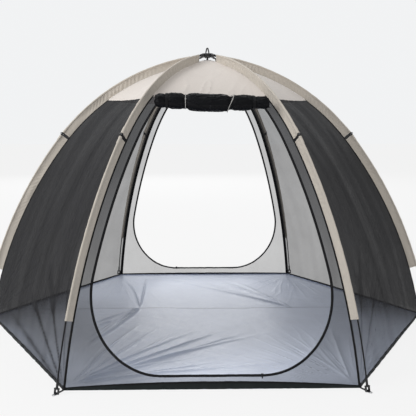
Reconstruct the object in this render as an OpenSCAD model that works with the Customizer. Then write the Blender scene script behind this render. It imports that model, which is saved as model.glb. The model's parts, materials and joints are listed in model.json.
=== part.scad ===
// Six-sided quick-pitch screen house.
// Six jointed poles fold down from a hub like an umbrella. They carry a roof canopy and mesh walls
// on fabric sleeves, with a zipped doorway at the front and at the rear, over a sewn-in groundsheet.
// Millimetres, +Z up, origin on the ground in the middle of the footprint, front doorway towards -Y.

/* [Frame] */
// Radius from the middle of the footprint to the bar at each foot
foot_r = 1850; // [1750:5:1950]
// Radius of the elbow joints
elbow_r = 1168; // [1100:1:1230]
// Height of the elbow joints
elbow_z = 1518; // [1450:1:1580]
// Height of the pivots in the hub
hub_z = 2140; // [2080:1:2200]
// Bend radius of the upper poles
upper_bend = 1680; // [1450:10:2100]
// Diameter of the fibreglass poles
pole_d = 9.5; // [7.9:0.1:11]

/* [Hub] */
// Radius of the circle of pivots
pivot_r = 36; // [33:0.5:42]
// Radius of the hub
hub_r = 54; // [50:0.5:62]
// Height of the hub below the pivots
hub_base_h = 14; // [12:0.5:20]
// Thickness of the cap over the arms
hub_cap_t = 3.5; // [2.5:0.1:6]
// Width of the moulded arm ends
arm_w = 10; // [8:0.5:12]
// Radius of the eye at each arm end
eye_r = 9; // [8:0.5:10]
// Diameter of the pivot pins in the hub
hub_pin_d = 5; // [4:0.1:6]
// Diameter of the hub screws
screw_d = 4; // [3:0.1:4.5]
// Diameter of the pull rope
rope_d = 5.5; // [4:0.1:6.5]
// Height of the pull loop above the cap
loop_h = 45; // [40:1:90]
// Distance between the two holes of the pull rope
rope_gap = 28; // [24:1:30]

/* [Pole fittings] */
// Outer diameter of the moulded ferrules
ferrule_d = 15; // [14:0.1:17]
// Length of the ferrules
ferrule_l = 46; // [30:1:70]
// Distance of the elbow pin outside the pole axis
elbow_offset = 11; // [11:0.1:14]
// Radius of the eyes at the elbow
elbow_eye_r = 7; // [5.5:0.1:7.2]
// Diameter of the elbow pins
elbow_pin_d = 5; // [4:0.1:6]
// Thickness of the elbow tongue
tongue_t = 8; // [6:0.1:9]
// Thickness of each elbow fork ear
ear_t = 3.5; // [2.5:0.1:5]
// Radius of the foot, from its bar to the ground
foot_eye_r = 8; // [7:0.1:10]
// Diameter of the foot bar
foot_bar_d = 5; // [4:0.1:6]

/* [Sleeves] */
// Depth of the sleeves, from the pole axis to the seam with the canopy
sleeve_depth = 60; // [48:1:80]
// Thickness of the sleeve web
sleeve_t = 2; // [1:0.1:3]
// Wall of the pocket round the pole
pocket_t = 1.8; // [1:0.1:3]
// Distance along the pole from the hub pivot to the upper sleeve
sleeve_start = 105; // [95:1:180]
// Bare length of the sleeve's web on each side of the elbow
elbow_bare = 13; // [8:0.5:20]
// Height of the lower end of the lower sleeves
sleeve_end_z = 420; // [250:5:600]
// Clearance of the webbing tab at the elbow to the sleeves
tab_gap = 1; // [0.5:0.1:4]

/* [Canopy and walls] */
// Thickness of the canopy and of the mesh, with their hems
skin_t = 1.6; // [1:0.1:2.5]
// Height of the edge between the canopy and the mesh
roof_edge_z = 1785; // [1780:1:1880]
// Width of the binding tape inside each corner
binding_w = 10; // [6:0.5:16]
// Thickness of the binding tape
binding_t = 2; // [1:0.1:3]

/* [Doorways] */
// Height of the sill
door_sill = 80; // [60:5:140]
// Height of the top of the doorway
door_top = 1755; // [1700:5:1760]
// Distance from the doorway to the corners of the wall
door_margin = 70; // [50:1:110]
// Radius of the lower corners of the doorway
door_corner = 360; // [200:5:420]
// Width of the zip tape
zip_w = 20; // [14:1:30]
// Thickness that the zip stands proud of the mesh on each side
zip_proud = 0.6; // [0.3:0.1:1.5]
// Distance of the parked zip sliders from the middle of the doorway
slider_x = 300; // [200:5:340]
// Length of the rolled-up doors
roll_l = 790; // [700:5:860]
// Diameter of the front door's roll
front_roll_d = 118; // [80:1:130]
// Height of the middle of the front door's roll
front_roll_z = 1738; // [1700:1:1750]
// Diameter of the rear door's tighter roll
rear_roll_d = 90; // [70:1:110]
// Height of the middle of the rear door's roll
rear_roll_z = 1798; // [1760:1:1820]

/* [Groundsheet] */
// Thickness of the groundsheet
sheet_t = 1.5; // [0.8:0.1:3]
// Height of its turned-up edge
hem_h = 35; // [20:1:50]
// Width of the corner straps
strap_w = 20; // [16:1:20]
// Thickness of the corner straps
strap_t = 2; // [1.2:0.1:2.2]
// Height of the strap patch on the turned-up edge
patch_h = 30; // [15:1:32]
// Radius of the hole for a peg in each corner's ring plate
peg_r = 6; // [4.5:0.1:8]

/* [Hidden] */
SIDES = 6;
STEP = 360 / SIDES;
ARMS = [1 : SIDES];

FRONT = 270;      // azimuth of the front wall
REAR = 90;        // azimuth of the rear wall
FIT = 0.1;        // radial clearance of a pin in its eye
PRESS = 0.05;     // gap round a rivet, a rod's end and other pieces that are held fast
SEAT = 0.15;      // radial clearance of a pole in a ferrule
GAP = 0.4;        // clearance between pieces that move apart
FAR = 4000;       // longer than the whole object
SPAN = 40;        // length of one facet along a pole's bend
BAND_STEPS = 14;  // facets along each bend of the canopy and walls
FINE = 64;        // facets round a small part

BLACK = [0.09, 0.09, 0.10];
STEEL = [0.72, 0.73, 0.75];
BEIGE = [0.82, 0.80, 0.78];
SLEEVE = [0.71, 0.68, 0.64];
MESH = [0.28, 0.29, 0.31];
SHEET = [0.66, 0.68, 0.73];

// ---- Lines of the frame, in the plane of one pole: [radius, height] ----
hub_pivot = [pivot_r, hub_z];
elbow = [elbow_r, elbow_z];
foot = [foot_r, foot_eye_r];

function degrees_of(length, radius) = length / radius * 180 / PI;
function direction(a) = [cos(a), sin(a)];

// Middle of an arc of the given radius from p down to q that bulges outwards
function arc_middle(p, q, radius) =
    let (d = q - p, h = sqrt(radius * radius - d * d / 4))
    (p + q) / 2 + h * [d.y, -d.x] / norm(d);

upper_c = arc_middle(hub_pivot, elbow, upper_bend);
hub_a = atan2(hub_z - upper_c.y, pivot_r - upper_c.x);
elbow_a = atan2(elbow_z - upper_c.y, elbow_r - upper_c.x);
// The lower pole leaves the elbow in line with the upper one and reaches the foot
lower_bend = (foot - elbow) * (foot - elbow) / (2 * (foot - elbow) * -direction(elbow_a));
lower_c = elbow - lower_bend * direction(elbow_a);
foot_a = atan2(foot.y - lower_c.y, foot.x - lower_c.x);
upper_l = (hub_a - elbow_a) * PI / 180 * upper_bend;
lower_l = (elbow_a - foot_a) * PI / 180 * lower_bend;

// Angles on the two bends at a length along the pole, from the hub pivot or from the elbow
function upper_at(s) = hub_a - degrees_of(s, upper_bend);
function lower_at(s) = elbow_a - degrees_of(s, lower_bend);

// Angle on a bend, d inside the pole, at a height
function upper_at_z(z, d) = asin((z - upper_c.y) / (upper_bend - d));
function lower_at_z(z, d) = asin((z - lower_c.y) / (lower_bend - d));
function upper_point(a, d) = upper_c + (upper_bend - d) * direction(a);
function lower_point(a, d) = lower_c + (lower_bend - d) * direction(a);

// Radius of the surface that lies d inside the poles, at a height
function radius_at(z, d) =
    z > upper_point(elbow_a, d).y ? upper_point(upper_at_z(z, d), d).x
                                  : lower_point(lower_at_z(z, d), d).x;

skin_d = sleeve_depth + GAP;            // depth of the outside of the canopy and walls
floor_r = radius_at(0, skin_d);         // radius of the groundsheet's corners
flat = cos(STEP / 2);                   // middle of a side, as a share of its corner's radius
half = sin(STEP / 2);                   // half a side, as a share of its corner's radius

// ---- Placing ----
module at_arm(i) rotate([0, 0, STEP * (i - 1)]) children();
module at_panel(azimuth) rotate([0, 0, azimuth]) children();

// Upright plane of a pole or panel: section x runs outwards and y upwards
module upright(thickness) rotate([90, 0, 0]) linear_extrude(height = thickness, center = true) children();

// Tangential cylinder through a point of the pole's plane
module cross_rod(p, d, length) translate([p.x, 0, p.y]) rotate([90, 0, 0])
    cylinder(d = d, h = length, center = true, $fn = FINE);

// Local frame on a pole: x outwards, z up along the pole
module on_pole(p, a) translate([p.x, 0, p.y]) rotate([0, -a, 0]) children();

// Sweeps a section along an arc of the pole's plane, from angle a0 up to a1
module arc_sweep(c, radius, a0, a1) translate([c.x, 0, c.y]) rotate([90, 0, 0]) rotate([0, 0, a0])
    rotate_extrude(angle = a1 - a0, $fa = 0.1, $fs = SPAN) translate([radius, 0]) children();
module upper_sweep(s0, s1) arc_sweep(upper_c, upper_bend, upper_at(s1), upper_at(s0)) children();
module lower_sweep(s0, s1) arc_sweep(lower_c, lower_bend, lower_at(s1), lower_at(s0)) children();

module round_section(d) circle(d = d, $fn = FINE);
module ring_section(outer, inner) difference() {
    round_section(outer);
    round_section(inner);
}

// ---- Hub ----
hub_top = eye_r + 1 + hub_cap_t;        // height of the cap above the pivots
slot_w = arm_w + 2 * GAP;
screw_r = hub_r - 10;
hub_pin_l = arm_w + 16;

module hub_slots(z0, z1) for (i = ARMS) at_arm(i)
    translate([pivot_r - eye_r - 1, -slot_w / 2, z0]) cube([hub_r, slot_w, z1 - z0]);

module hub_pin_grooves(d) for (i = ARMS) at_arm(i) cross_rod(hub_pivot, d, hub_pin_l + GAP);

module screw_places() for (a = [STEP / 2 : 2 * STEP : 360]) rotate([0, 0, a]) translate([screw_r, 0, 0])
    children();

module rope_holes(z0, z1) for (side = [-1, 1]) translate([side * rope_gap / 2, 0, z0])
    cylinder(d = rope_d + 1, h = z1 - z0, $fn = FINE);

// Lower half of the hub, dished on its underside
dish_r = 12;
dish_h = 4;
function dish_z(r) = hub_z - hub_base_h + dish_h * (1 - r / dish_r);
module hub_base() color(BLACK) difference() {
    rotate_extrude($fn = 96) polygon([[0, dish_z(0)], [dish_r, dish_z(dish_r)],
        [hub_r - 5, hub_z - hub_base_h], [hub_r, hub_z - hub_base_h + 5], [hub_r, hub_z], [0, hub_z]]);
    hub_slots(hub_z - hub_base_h - 1, hub_z + 1);
    hub_pin_grooves(hub_pin_d);
    rope_holes(hub_z - hub_base_h - 1, hub_z + 1);
    screw_places() translate([0, 0, hub_z - hub_base_h - 1]) cylinder(d = screw_d, h = hub_base_h + 2, $fn = FINE);
}

// Domed upper half that holds the pins down and stops the arms
module hub_cap() color(BLACK) difference() {
    rotate_extrude($fn = 96) difference() {
        polygon([[0, hub_z], [hub_r, hub_z], [hub_r, hub_z + hub_top - 5], [hub_r - 5, hub_z + hub_top - 1],
            [hub_r - 18, hub_z + hub_top], [0, hub_z + hub_top]]);
        translate([hub_r * 0.62, hub_z + hub_top]) round_section(2.4);
    }
    hub_slots(hub_z - 1, hub_z + eye_r + 1);
    hub_pin_grooves(hub_pin_d);
    rope_holes(hub_z - 1, hub_z + hub_top + 1);
    screw_places() translate([0, 0, hub_z - 1]) cylinder(d = screw_d, h = 1 + eye_r, $fn = FINE);
}

module hub_pins() color(STEEL) for (i = ARMS) at_arm(i) cross_rod(hub_pivot, hub_pin_d, hub_pin_l);

module hub_screws() color(STEEL) screw_places() translate([0, 0, hub_z - hub_base_h]) {
    cylinder(d = screw_d, h = hub_base_h + eye_r - 1.5, $fn = FINE);
    translate([0, 0, -2.2]) difference() {
        cylinder(d = screw_d * 2, h = 2.2, $fn = FINE);
        for (turn = [0, 90]) rotate([0, 0, turn]) translate([-screw_d * 0.6, -0.4, -1])
            cube([screw_d * 1.2, 0.8, 2]);
    }
}

// Rope handle: two legs rise through the cap and meet in a tight bend, with a knot under each
bend_r = rope_d;
loop_top = hub_z + hub_top + loop_h;
bend_middle = [0, loop_top - rope_d / 2 - bend_r];
leg_foot = [rope_gap / 2, hub_z + hub_top];
leg_span = leg_foot - bend_middle;
leg_a = atan2(leg_span.y, leg_span.x) + acos(bend_r / norm(leg_span));
leg_top = bend_middle + bend_r * direction(leg_a);
knot_d = rope_d * 2;

module rope_bend(p) translate([p.x, 0, p.y]) sphere(d = rope_d + 0.3, $fn = FINE);
module pull_loop() color(BLACK) {
    for (turn = [0, 180]) rotate([0, 0, turn]) {
        translate([rope_gap / 2, 0, hub_z - hub_base_h - knot_d / 2])
            cylinder(d = rope_d, h = hub_base_h + hub_top + knot_d / 2, $fn = FINE);
        translate([rope_gap / 2, 0, hub_z - hub_base_h - knot_d / 2]) sphere(d = knot_d, $fn = FINE);
        translate([leg_foot.x, 0, leg_foot.y]) rotate([0, atan2(leg_top.x - leg_foot.x, leg_top.y - leg_foot.y), 0])
            cylinder(d = rope_d, h = norm(leg_top - leg_foot), $fn = FINE);
        rope_bend(leg_foot);
        rope_bend(leg_top);
    }
    translate([0, 0, bend_middle.y]) rotate([90, 0, 0]) rotate([0, 0, leg_a])
        rotate_extrude(angle = 180 - 2 * leg_a, $fn = FINE) translate([bend_r, 0]) round_section(rope_d);
}

// Moulded boss under the hub that holds the top of the canopy, with a flange on the fabric
anchor_r = 34;
anchor_t = 3;
anchor_neck_r = 7;
crown = upper_point(acos(-upper_c.x / (upper_bend - skin_d)), skin_d);
anchor_z = crown.y + GAP;
module canopy_anchor() color(BLACK) difference() {
    rotate_extrude($fn = 96) polygon([[0, anchor_z], [anchor_r * 0.4, anchor_z],
        [anchor_r, anchor_z - 0.2], [anchor_r, anchor_z + anchor_t * 0.7], [anchor_r * 0.5, anchor_z + anchor_t + 2],
        [anchor_neck_r + 2, anchor_z + anchor_t + 6], [anchor_neck_r, dish_z(anchor_neck_r) - PRESS],
        [0, dish_z(0) - PRESS]]);
    for (a = ARMS) rotate([0, 0, STEP * (a - 0.5)]) translate([anchor_r * 0.75, 0, 0])
        cylinder(d = 3, h = FAR, $fn = FINE);
}

// ---- Poles ----
neck_l = 24;                            // from the hub pivot to the arm's socket
plug_l = 6;                             // closed end of a ferrule
plug_s = 8;                             // from the elbow pivot's level to the ferrule's closed end

// Ferrule and its bead, on either bend
module ferrule_tube() ring_section(ferrule_d, pole_d + 2 * SEAT);
module ferrule_bead() ring_section(ferrule_d + 2, ferrule_d - 2);

module upper_pole() color(BLACK) {
    difference() {
        union() {
            cross_rod(hub_pivot, 2 * eye_r, arm_w);
            upper_sweep(0, neck_l + 2) square([eye_r * 1.4, arm_w - 0.8], center = true);
            on_pole(upper_point(upper_at(neck_l), 0), upper_at(neck_l)) translate([0, 0, -plug_l])
                cylinder(d = ferrule_d + 1, h = plug_l, $fn = FINE);
            upper_sweep(neck_l + plug_l - 1, neck_l + plug_l + ferrule_l) ferrule_tube();
            upper_sweep(neck_l + plug_l + ferrule_l - 4, neck_l + plug_l + ferrule_l) ferrule_bead();
        }
        cross_rod(hub_pivot, hub_pin_d + 2 * FIT, arm_w + 2);
    }
    upper_sweep(neck_l + plug_l + PRESS, upper_l - plug_s - plug_l - PRESS) round_section(pole_d);
}

// Outline of one half of the elbow: a web from the ferrule to the eye; up is 1 or -1
reach = elbow_eye_r * cos(45);
web_r = ferrule_d / 2 - 0.5;
web_end = plug_s + plug_l - 2;
module elbow_web(up) polygon([[-web_r, up * plug_s], [-web_r, up * web_end], [web_r, up * web_end],
    [elbow_offset + reach, up * reach], [elbow_offset - reach, -up * reach]]);
module elbow_eye() translate([elbow_offset, 0]) circle(r = elbow_eye_r, $fn = FINE);
// Heels of the two halves meet inside the pole axis and stop the elbow when it is straight
module elbow_heel(up) translate([-web_r, up > 0 ? GAP / 2 : -web_end]) square([web_r - 1, web_end - GAP / 2]);
// Collar that closes the ferrule of each half
module elbow_collar(up) translate([0, 0, up > 0 ? plug_s : -plug_s - plug_l])
    cylinder(d = ferrule_d + 1, h = plug_l, $fn = FINE);

fork_gap = tongue_t + 2 * FIT + 0.3;
fork_w = fork_gap + 2 * ear_t;
rivet_h = 1.5;

// Webbing between the sleeves, from the elbow's upper half in to the seam
tab_half = elbow_bare - tab_gap;
module elbow_tab() upright(sleeve_t + 1) translate([-sleeve_depth, 0]) {
    translate([0, -tab_half]) square([sleeve_depth - ferrule_d / 2 - 1 - GAP, 2 * tab_half]);
    translate([0, 1]) square([sleeve_depth - web_r + 1, tab_half - 1]);
}

// Fork of the elbow on the upper pole, its rivet, and the webbing tab that ties it to the seam
module elbow_fork() {
    color(BLACK) {
        upper_sweep(upper_l - plug_s - plug_l - ferrule_l, upper_l - plug_s - plug_l + 1) ferrule_tube();
        upper_sweep(upper_l - plug_s - plug_l - ferrule_l, upper_l - plug_s - plug_l - ferrule_l + 4) ferrule_bead();
        on_pole(elbow, elbow_a) {
            difference() {
                upright(fork_w) union() {
                    elbow_web(1);
                    elbow_eye();
                }
                translate([elbow_offset - elbow_eye_r - 1, -fork_gap / 2, -FAR / 2]) cube([FAR, fork_gap, FAR]);
                upright(fork_gap) translate([-3, -elbow_eye_r - 1]) square([FAR, elbow_eye_r + plug_s + 1]);
                cross_rod([elbow_offset, 0], elbow_pin_d + 2 * PRESS, fork_w + 2);
            }
            upright(fork_w - 1) elbow_heel(1);
            elbow_collar(1);
            elbow_tab();
        }
    }
    color(STEEL) on_pole(elbow, elbow_a) {
        cross_rod([elbow_offset, 0], elbow_pin_d, fork_w + 1);
        for (side = [-1, 1]) translate([0, side * (fork_w / 2 + PRESS + rivet_h / 2), 0])
            cross_rod([elbow_offset, 0], elbow_pin_d * 1.7, rivet_h);
    }
}

// ---- Lower pole: tongue of the elbow, rod, and the foot with its bar ----
yoke_s = 30;                            // from the foot bar up to the foot's ferrule
foot_w = strap_w + 2;                   // clear width between the foot's ears
foot_ear_t = 3.5;

module lower_pole() color(BLACK) {
    lower_sweep(plug_s + plug_l - 1, plug_s + plug_l + ferrule_l) ferrule_tube();
    lower_sweep(plug_s + plug_l + ferrule_l - 4, plug_s + plug_l + ferrule_l) ferrule_bead();
    on_pole(elbow, elbow_a) {
        difference() {
            upright(tongue_t) union() {
                elbow_web(-1);
                elbow_eye();
            }
            cross_rod([elbow_offset, 0], elbow_pin_d + 2 * FIT, tongue_t + 2);
        }
        upright(fork_w - 1) elbow_heel(-1);
        elbow_collar(-1);
    }
    lower_sweep(plug_s + plug_l + PRESS, lower_l - yoke_s - 1) round_section(pole_d);
    foot_fitting();
}

module foot_fitting() {
    lower_sweep(lower_l - yoke_s - ferrule_l, lower_l - yoke_s + 3) ferrule_tube();
    lower_sweep(lower_l - yoke_s - ferrule_l + 1, lower_l - yoke_s - ferrule_l + 5) ferrule_bead();
    on_pole(foot, foot_a) {
        translate([-foot_eye_r - 0.5, -foot_w / 2 - foot_ear_t - 0.5, yoke_s - 8])
            cube([2 * foot_eye_r + 1, foot_w + 2 * foot_ear_t + 1, 8]);
        for (side = [-1, 1]) translate([0, side * (foot_w + foot_ear_t) / 2, 0]) {
            translate([0.4 - foot_eye_r, -foot_ear_t / 2, 0]) cube([2 * (foot_eye_r - 0.4), foot_ear_t, yoke_s - 4]);
            rotate([90, 0, 0]) cylinder(r = foot_eye_r, h = foot_ear_t, center = true, $fn = FINE);
        }
        cross_rod([0, 0], foot_bar_d, foot_w + 2);
    }
}

// ---- Sleeves: a pocket round the pole and a web down to the seam ----
pocket_r = pole_d / 2 + 0.6;             // inside of the pocket on the bare rod
wide_r = ferrule_d / 2 + 1 + GAP;       // and over the elbow's ferrules
wide_end = web_end + 4;
wide_l = plug_s + plug_l + ferrule_l + 2;
sleeve_stop = lower_l - (lower_at_z(sleeve_end_z, 0) - foot_a) * PI / 180 * lower_bend;

seam_w = 3;                             // how far a pocket's seam reaches over the web
narrow_seam = wide_r - pocket_r + seam_w + 1;
module pocket_section(inside, seam, seam_t) difference() {
    union() {
        circle(r = inside + pocket_t, $fn = FINE);
        translate([-inside - pocket_t - seam, -seam_t / 2]) square([pocket_t / 2 + seam, seam_t]);
    }
    circle(r = inside, $fn = FINE);
}
module narrow_pocket() pocket_section(pocket_r, narrow_seam, sleeve_t * 2);
module wide_pocket() pocket_section(wide_r, seam_w, sleeve_t * 2.4);
// Closes the step between the two widths of pocket
module step_section() ring_section(2 * wide_r + pocket_t, 2 * pocket_r + pocket_t);
module web_section() translate([-sleeve_depth, -sleeve_t / 2])
    square([sleeve_depth - wide_r - pocket_t * 0.3, sleeve_t]);

module upper_sleeve() color(SLEEVE) {
    upper_sweep(sleeve_start + 1, upper_l - wide_l) narrow_pocket();
    upper_sweep(upper_l - wide_l - pocket_t, upper_l - wide_end) wide_pocket();
    upper_sweep(upper_l - wide_l - pocket_t + 0.3, upper_l - wide_l - 0.3) step_section();
    upper_sweep(sleeve_start, upper_l - elbow_bare) web_section();
}
module lower_sleeve() color(SLEEVE) {
    lower_sweep(wide_l, sleeve_stop - 1) narrow_pocket();
    lower_sweep(wide_end, wide_l + pocket_t) wide_pocket();
    lower_sweep(wide_l + 0.3, wide_l + pocket_t - 0.3) step_section();
    lower_sweep(elbow_bare, sleeve_stop) web_section();
}

// ---- Canopy, walls and what is sewn to them ----
// Angles along a strip of skin from height z1 down to z0, d inside the poles
function ramp(a, b, n) = [for (i = [0 : n]) a + (b - a) * i / n];
function upper_angles(z1, d) = ramp(upper_at_z(z1, d), elbow_a, BAND_STEPS);
function lower_angles(z0, d) = ramp(elbow_a, lower_at_z(z0, d), BAND_STEPS);
function wall_line(z1, z0, d) = concat(
    [for (a = upper_angles(z1, skin_d)) upper_point(a, d)],
    [for (a = lower_angles(z0, skin_d)) lower_point(a, d)]);
function reversed(list) = [for (i = [len(list) - 1 : -1 : 0]) list[i]];
function at_flat(points) = [for (p = points) [p.x * flat, p.y]];

// Wedge of one side of the hexagon
module wedge(z1) linear_extrude(height = z1)
    polygon([[0, 0], [FAR, -FAR * tan(STEP / 2)], [FAR, FAR * tan(STEP / 2)]]);

// One flat-across strip of skin from z1 down to z0; proud thickens it on both faces
module skin(z1, z0, proud = 0) intersection() {
    upright(FAR) polygon(at_flat(concat(wall_line(z1, z0, skin_d - proud),
        reversed(wall_line(z1, z0, skin_d + skin_t + proud)))));
    wedge(hub_z);
}

// Roof gore, closed over the middle of the roof
function roof_line(d) = [for (a = ramp(acos(-upper_c.x / (upper_bend - d)), upper_at_z(roof_edge_z, skin_d), BAND_STEPS))
    upper_point(a, d)];
module roof_gore() intersection() {
    upright(FAR) polygon(at_flat(concat(roof_line(skin_d), reversed(roof_line(skin_d + skin_t)))));
    wedge(hub_z);
}
module roof_canopy() color(BEIGE) for (i = ARMS) at_panel(STEP * (i - 0.5)) roof_gore();

// Doorway outline: straight sill, round lower corners, and sides that follow the poles
function door_half(z, grow) = radius_at(z, skin_d) * half - door_margin + grow;
function side_lean(z) = atan2(door_half(z, 0) - door_half(z + 10, 0), 10);
function door_side(grow) =
    let (r = door_corner + grow, lean = side_lean(door_sill + door_corner),
         z = door_sill - grow + r * (1 + sin(lean)),
         c = [door_half(z, grow) - r * cos(lean), door_sill - grow + r])
    concat([for (level = ramp(door_top + grow, z, 12)) [door_half(level, grow), level]],
        [for (a = ramp(lean, -90, 9)) c + r * direction(a)]);
module door_shape(grow) polygon(concat(door_side(grow),
    [for (p = reversed(door_side(grow))) [-p.x, p.y]]));
module doorway(grow) rotate([90, 0, 90]) linear_extrude(height = FAR) door_shape(grow);

module wall() skin(roof_edge_z, hem_h);
module door_wall() difference() {
    wall();
    doorway(zip_w / 2);
}
module zip() intersection() {
    skin(roof_edge_z, hem_h, zip_proud);
    rotate([90, 0, 90]) linear_extrude(height = FAR) difference() {
        door_shape(zip_w / 2);
        door_shape(-zip_w / 2);
    }
}

// Zip slider over the inner edge of the tape, with its pull tab hanging outside
slider_z = door_sill + zip_w / 2;
slider_l = 14;
slider_wall = 2;
module slider() {
    tape = skin_t + 2 * zip_proud;
    lean = lower_at_z(slider_z, skin_d) * flat;
    translate([radius_at(slider_z, skin_d + skin_t / 2) * flat, slider_x, slider_z]) rotate([0, -lean, 0]) {
        difference() {
            translate([-tape / 2 - GAP - slider_wall, -slider_l / 2, -7])
                cube([tape + 2 * (GAP + slider_wall), slider_l, 7 + GAP + slider_wall]);
            translate([-tape / 2 - GAP, -slider_l, -8]) cube([tape + 2 * GAP, 2 * slider_l, 8 + GAP]);
        }
        translate([tape / 2 + GAP + slider_wall, -2, -5]) cube([2.5, 4, 6]);
        translate([tape / 2 + GAP + slider_wall + 2.5, -4, -26]) cube([1.4, 8, 27]);
    }
}

// Rolled-up door outside the canopy's edge, waisted under a band near each end and a cord nearer the middle
roll_gap = 9;
tie_t = 1.5;
cord_x = 170;
cord_w = 6;
band_x = 300;
band_w = 18;
roll_end = 12;
function waist(d) = d * 0.44;
function roll_c(z, d) = let (r = upper_bend - skin_d + d / 2 + roll_gap)
    upper_c + r * direction(asin((z - upper_c.y) / r));
function roll_half(d) = [[d / 2, cord_x / 2], [waist(d), cord_x - cord_w / 2], [waist(d), cord_x + cord_w / 2],
    [d * 0.48, (cord_x + band_x) / 2], [waist(d), band_x - band_w / 2], [waist(d), band_x + band_w / 2],
    [d * 0.45, (band_x + roll_l / 2) / 2], [d * 0.4, roll_l / 2 - roll_end], [d * 0.3, roll_l / 2], [0, roll_l / 2]];
module on_roll(c) translate([c.x * flat, 0, c.y]) rotate([-90, 0, 0]) children();
module door_roll(z, d) on_roll(roll_c(z, d)) rotate_extrude($fn = 64) polygon(concat(
    [for (p = reversed(roll_half(d))) [p.x, -p.y]], roll_half(d)));

// Bands and cords round a roll, each drawn up to a point on the seam at the canopy's edge
seam_z = roof_edge_z + 6;
seam_point = upper_point(upper_at_z(seam_z, skin_d - 0.6), skin_d - 0.6);
function loop_outline(p, r) = let (a = atan2(p.y, p.x), spread = acos(r / norm(p)))
    concat([p], [for (turn = ramp(a + spread, a + 360 - spread, 24)) r * direction(turn)]);
module roll_ties(z, d) on_roll(roll_c(z, d)) {
    c = roll_c(z, d);
    inside = waist(d) + 2 * GAP;
    outside = inside + tie_t;
    p = [(seam_point.x - c.x) * flat, c.y - seam_point.y];
    for (side = [-1, 1], tie = [[cord_x, cord_w], [band_x, band_w]])
        translate([0, 0, side * tie[0] - tie[1] / 2]) linear_extrude(height = tie[1]) difference() {
            polygon(loop_outline(p, outside));
            polygon(loop_outline(p * inside / outside, inside));
        }
}

// Binding tape along the inside of each corner
binding_d = skin_d + skin_t / flat + binding_w / 2 * tan(STEP / 2) + 0.5;
module binding_section() translate([-binding_d - binding_t, -binding_w / 2]) square([binding_t, binding_w]);
module corner_bindings() color(BLACK) for (i = ARMS) at_arm(i) {
    arc_sweep(upper_c, upper_bend, upper_at(upper_l - GAP), upper_at_z(roof_edge_z, skin_d)) binding_section();
    arc_sweep(lower_c, lower_bend, lower_at_z(hem_h, skin_d), lower_at(GAP)) binding_section();
}

// ---- Groundsheet ----
module groundsheet() color(SHEET) cylinder(r = floor_r, h = sheet_t, $fn = SIDES);
function edge_line(d) = [for (z = [hem_h, sheet_t]) lower_point(lower_at_z(z, skin_d), d)];
module groundsheet_edge() color(SHEET) for (i = ARMS) at_panel(STEP * (i - 0.5)) intersection() {
    upright(FAR) polygon(at_flat(concat(edge_line(skin_d), reversed(edge_line(skin_d + skin_t)))));
    translate([0, 0, sheet_t]) wedge(hub_z);
}

// ---- Corner strap: webbing looped round the foot bar, a patch on the edge, and a loop with the peg's ring plate ----
strap_eye = foot_bar_d / 2 + GAP;
strap_z = foot_eye_r - strap_eye - strap_t;
web_z = strap_z + 0.3;
plate_t = 3;
rim = 4;                                // metal left round the plate's long slot and its hole
loop_w = strap_w - 4;
loop_z = GAP;
loop_t = plate_t + 2 * (GAP + strap_t);
plate_s = 9;                            // from the foot bar out to the plate
gap_l = strap_t + 2 * GAP;
gap_w = loop_w + 4 * GAP;
loop_end = plate_s + rim + GAP + strap_t;
peg_s = plate_s + rim + gap_l + rim + peg_r;
module corner_strap() {
    lean = 90 - foot_a;
    outside = floor_r + 1;
    color(BLACK) difference() {
        union() {
            cross_rod(foot, 2 * (strap_eye + strap_t), strap_w);
            translate([outside, -strap_w / 2, web_z]) cube([foot_r - outside, strap_w, strap_t]);
            upright(strap_w) polygon([[outside, strap_z], [outside + strap_t, strap_z],
                [outside + strap_t - patch_h / tan(lean), strap_z + patch_h],
                [outside - patch_h / tan(lean), strap_z + patch_h]]);
            translate([foot_r + strap_eye + 0.2, -loop_w / 2, loop_z])
                cube([loop_end - strap_eye - 0.2, loop_w, loop_t]);
        }
        cross_rod(foot, 2 * strap_eye, strap_w + 2);
        translate([foot_r + plate_s - GAP, -strap_w, loop_z + strap_t])
            cube([rim + 2 * GAP, 2 * strap_w, plate_t + 2 * GAP]);
    }
    color(STEEL) translate([foot_r, 0, loop_z + strap_t + PRESS]) linear_extrude(height = plate_t) ring_plate();
}
module ring_plate() difference() {
    union() {
        translate([peg_s, 0]) circle(r = peg_r + rim, $fn = FINE);
        polygon([for (side = [-1, 1]) each side < 0 ? plate_side(-1) : reversed(plate_side(1))]);
    }
    translate([plate_s + rim, -gap_w / 2]) square([gap_l, gap_w]);
    translate([peg_s, 0]) circle(r = peg_r, $fn = FINE);
}
function plate_side(side) = let (wide = gap_w / 2 + rim, narrow = peg_r + rim - 0.3) [[plate_s, side * (wide - rim)],
    [plate_s + rim / 2, side * wide], [plate_s + rim + gap_l, side * wide], [peg_s, side * narrow]];

hub_base();
hub_cap();
hub_pins();
hub_screws();
pull_loop();
canopy_anchor();
roof_canopy();
color(MESH) at_panel(FRONT) door_wall();  // front_wall
color(MESH) at_panel(REAR) door_wall();  // rear_wall
color(MESH) at_panel(FRONT - STEP) wall();  // front_left_wall
color(MESH) at_panel(FRONT + STEP) wall();  // front_right_wall
color(MESH) at_panel(REAR + STEP) wall();  // rear_left_wall
color(MESH) at_panel(REAR - STEP) wall();  // rear_right_wall
corner_bindings();
groundsheet();
groundsheet_edge();
color(BLACK) at_panel(FRONT) zip();  // front_zip
color(BLACK) at_panel(REAR) zip();  // rear_zip
color(BLACK) at_panel(FRONT) slider();  // front_slider
color(BLACK) at_panel(REAR) slider();  // rear_slider
color(BLACK) at_panel(FRONT) door_roll(front_roll_z, front_roll_d);  // front_door_roll
color(BLACK) at_panel(REAR) door_roll(rear_roll_z, rear_roll_d);  // rear_door_roll
color(BLACK) at_panel(FRONT) roll_ties(front_roll_z, front_roll_d);  // front_ties
color(BLACK) at_panel(REAR) roll_ties(rear_roll_z, rear_roll_d);  // rear_ties
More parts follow.
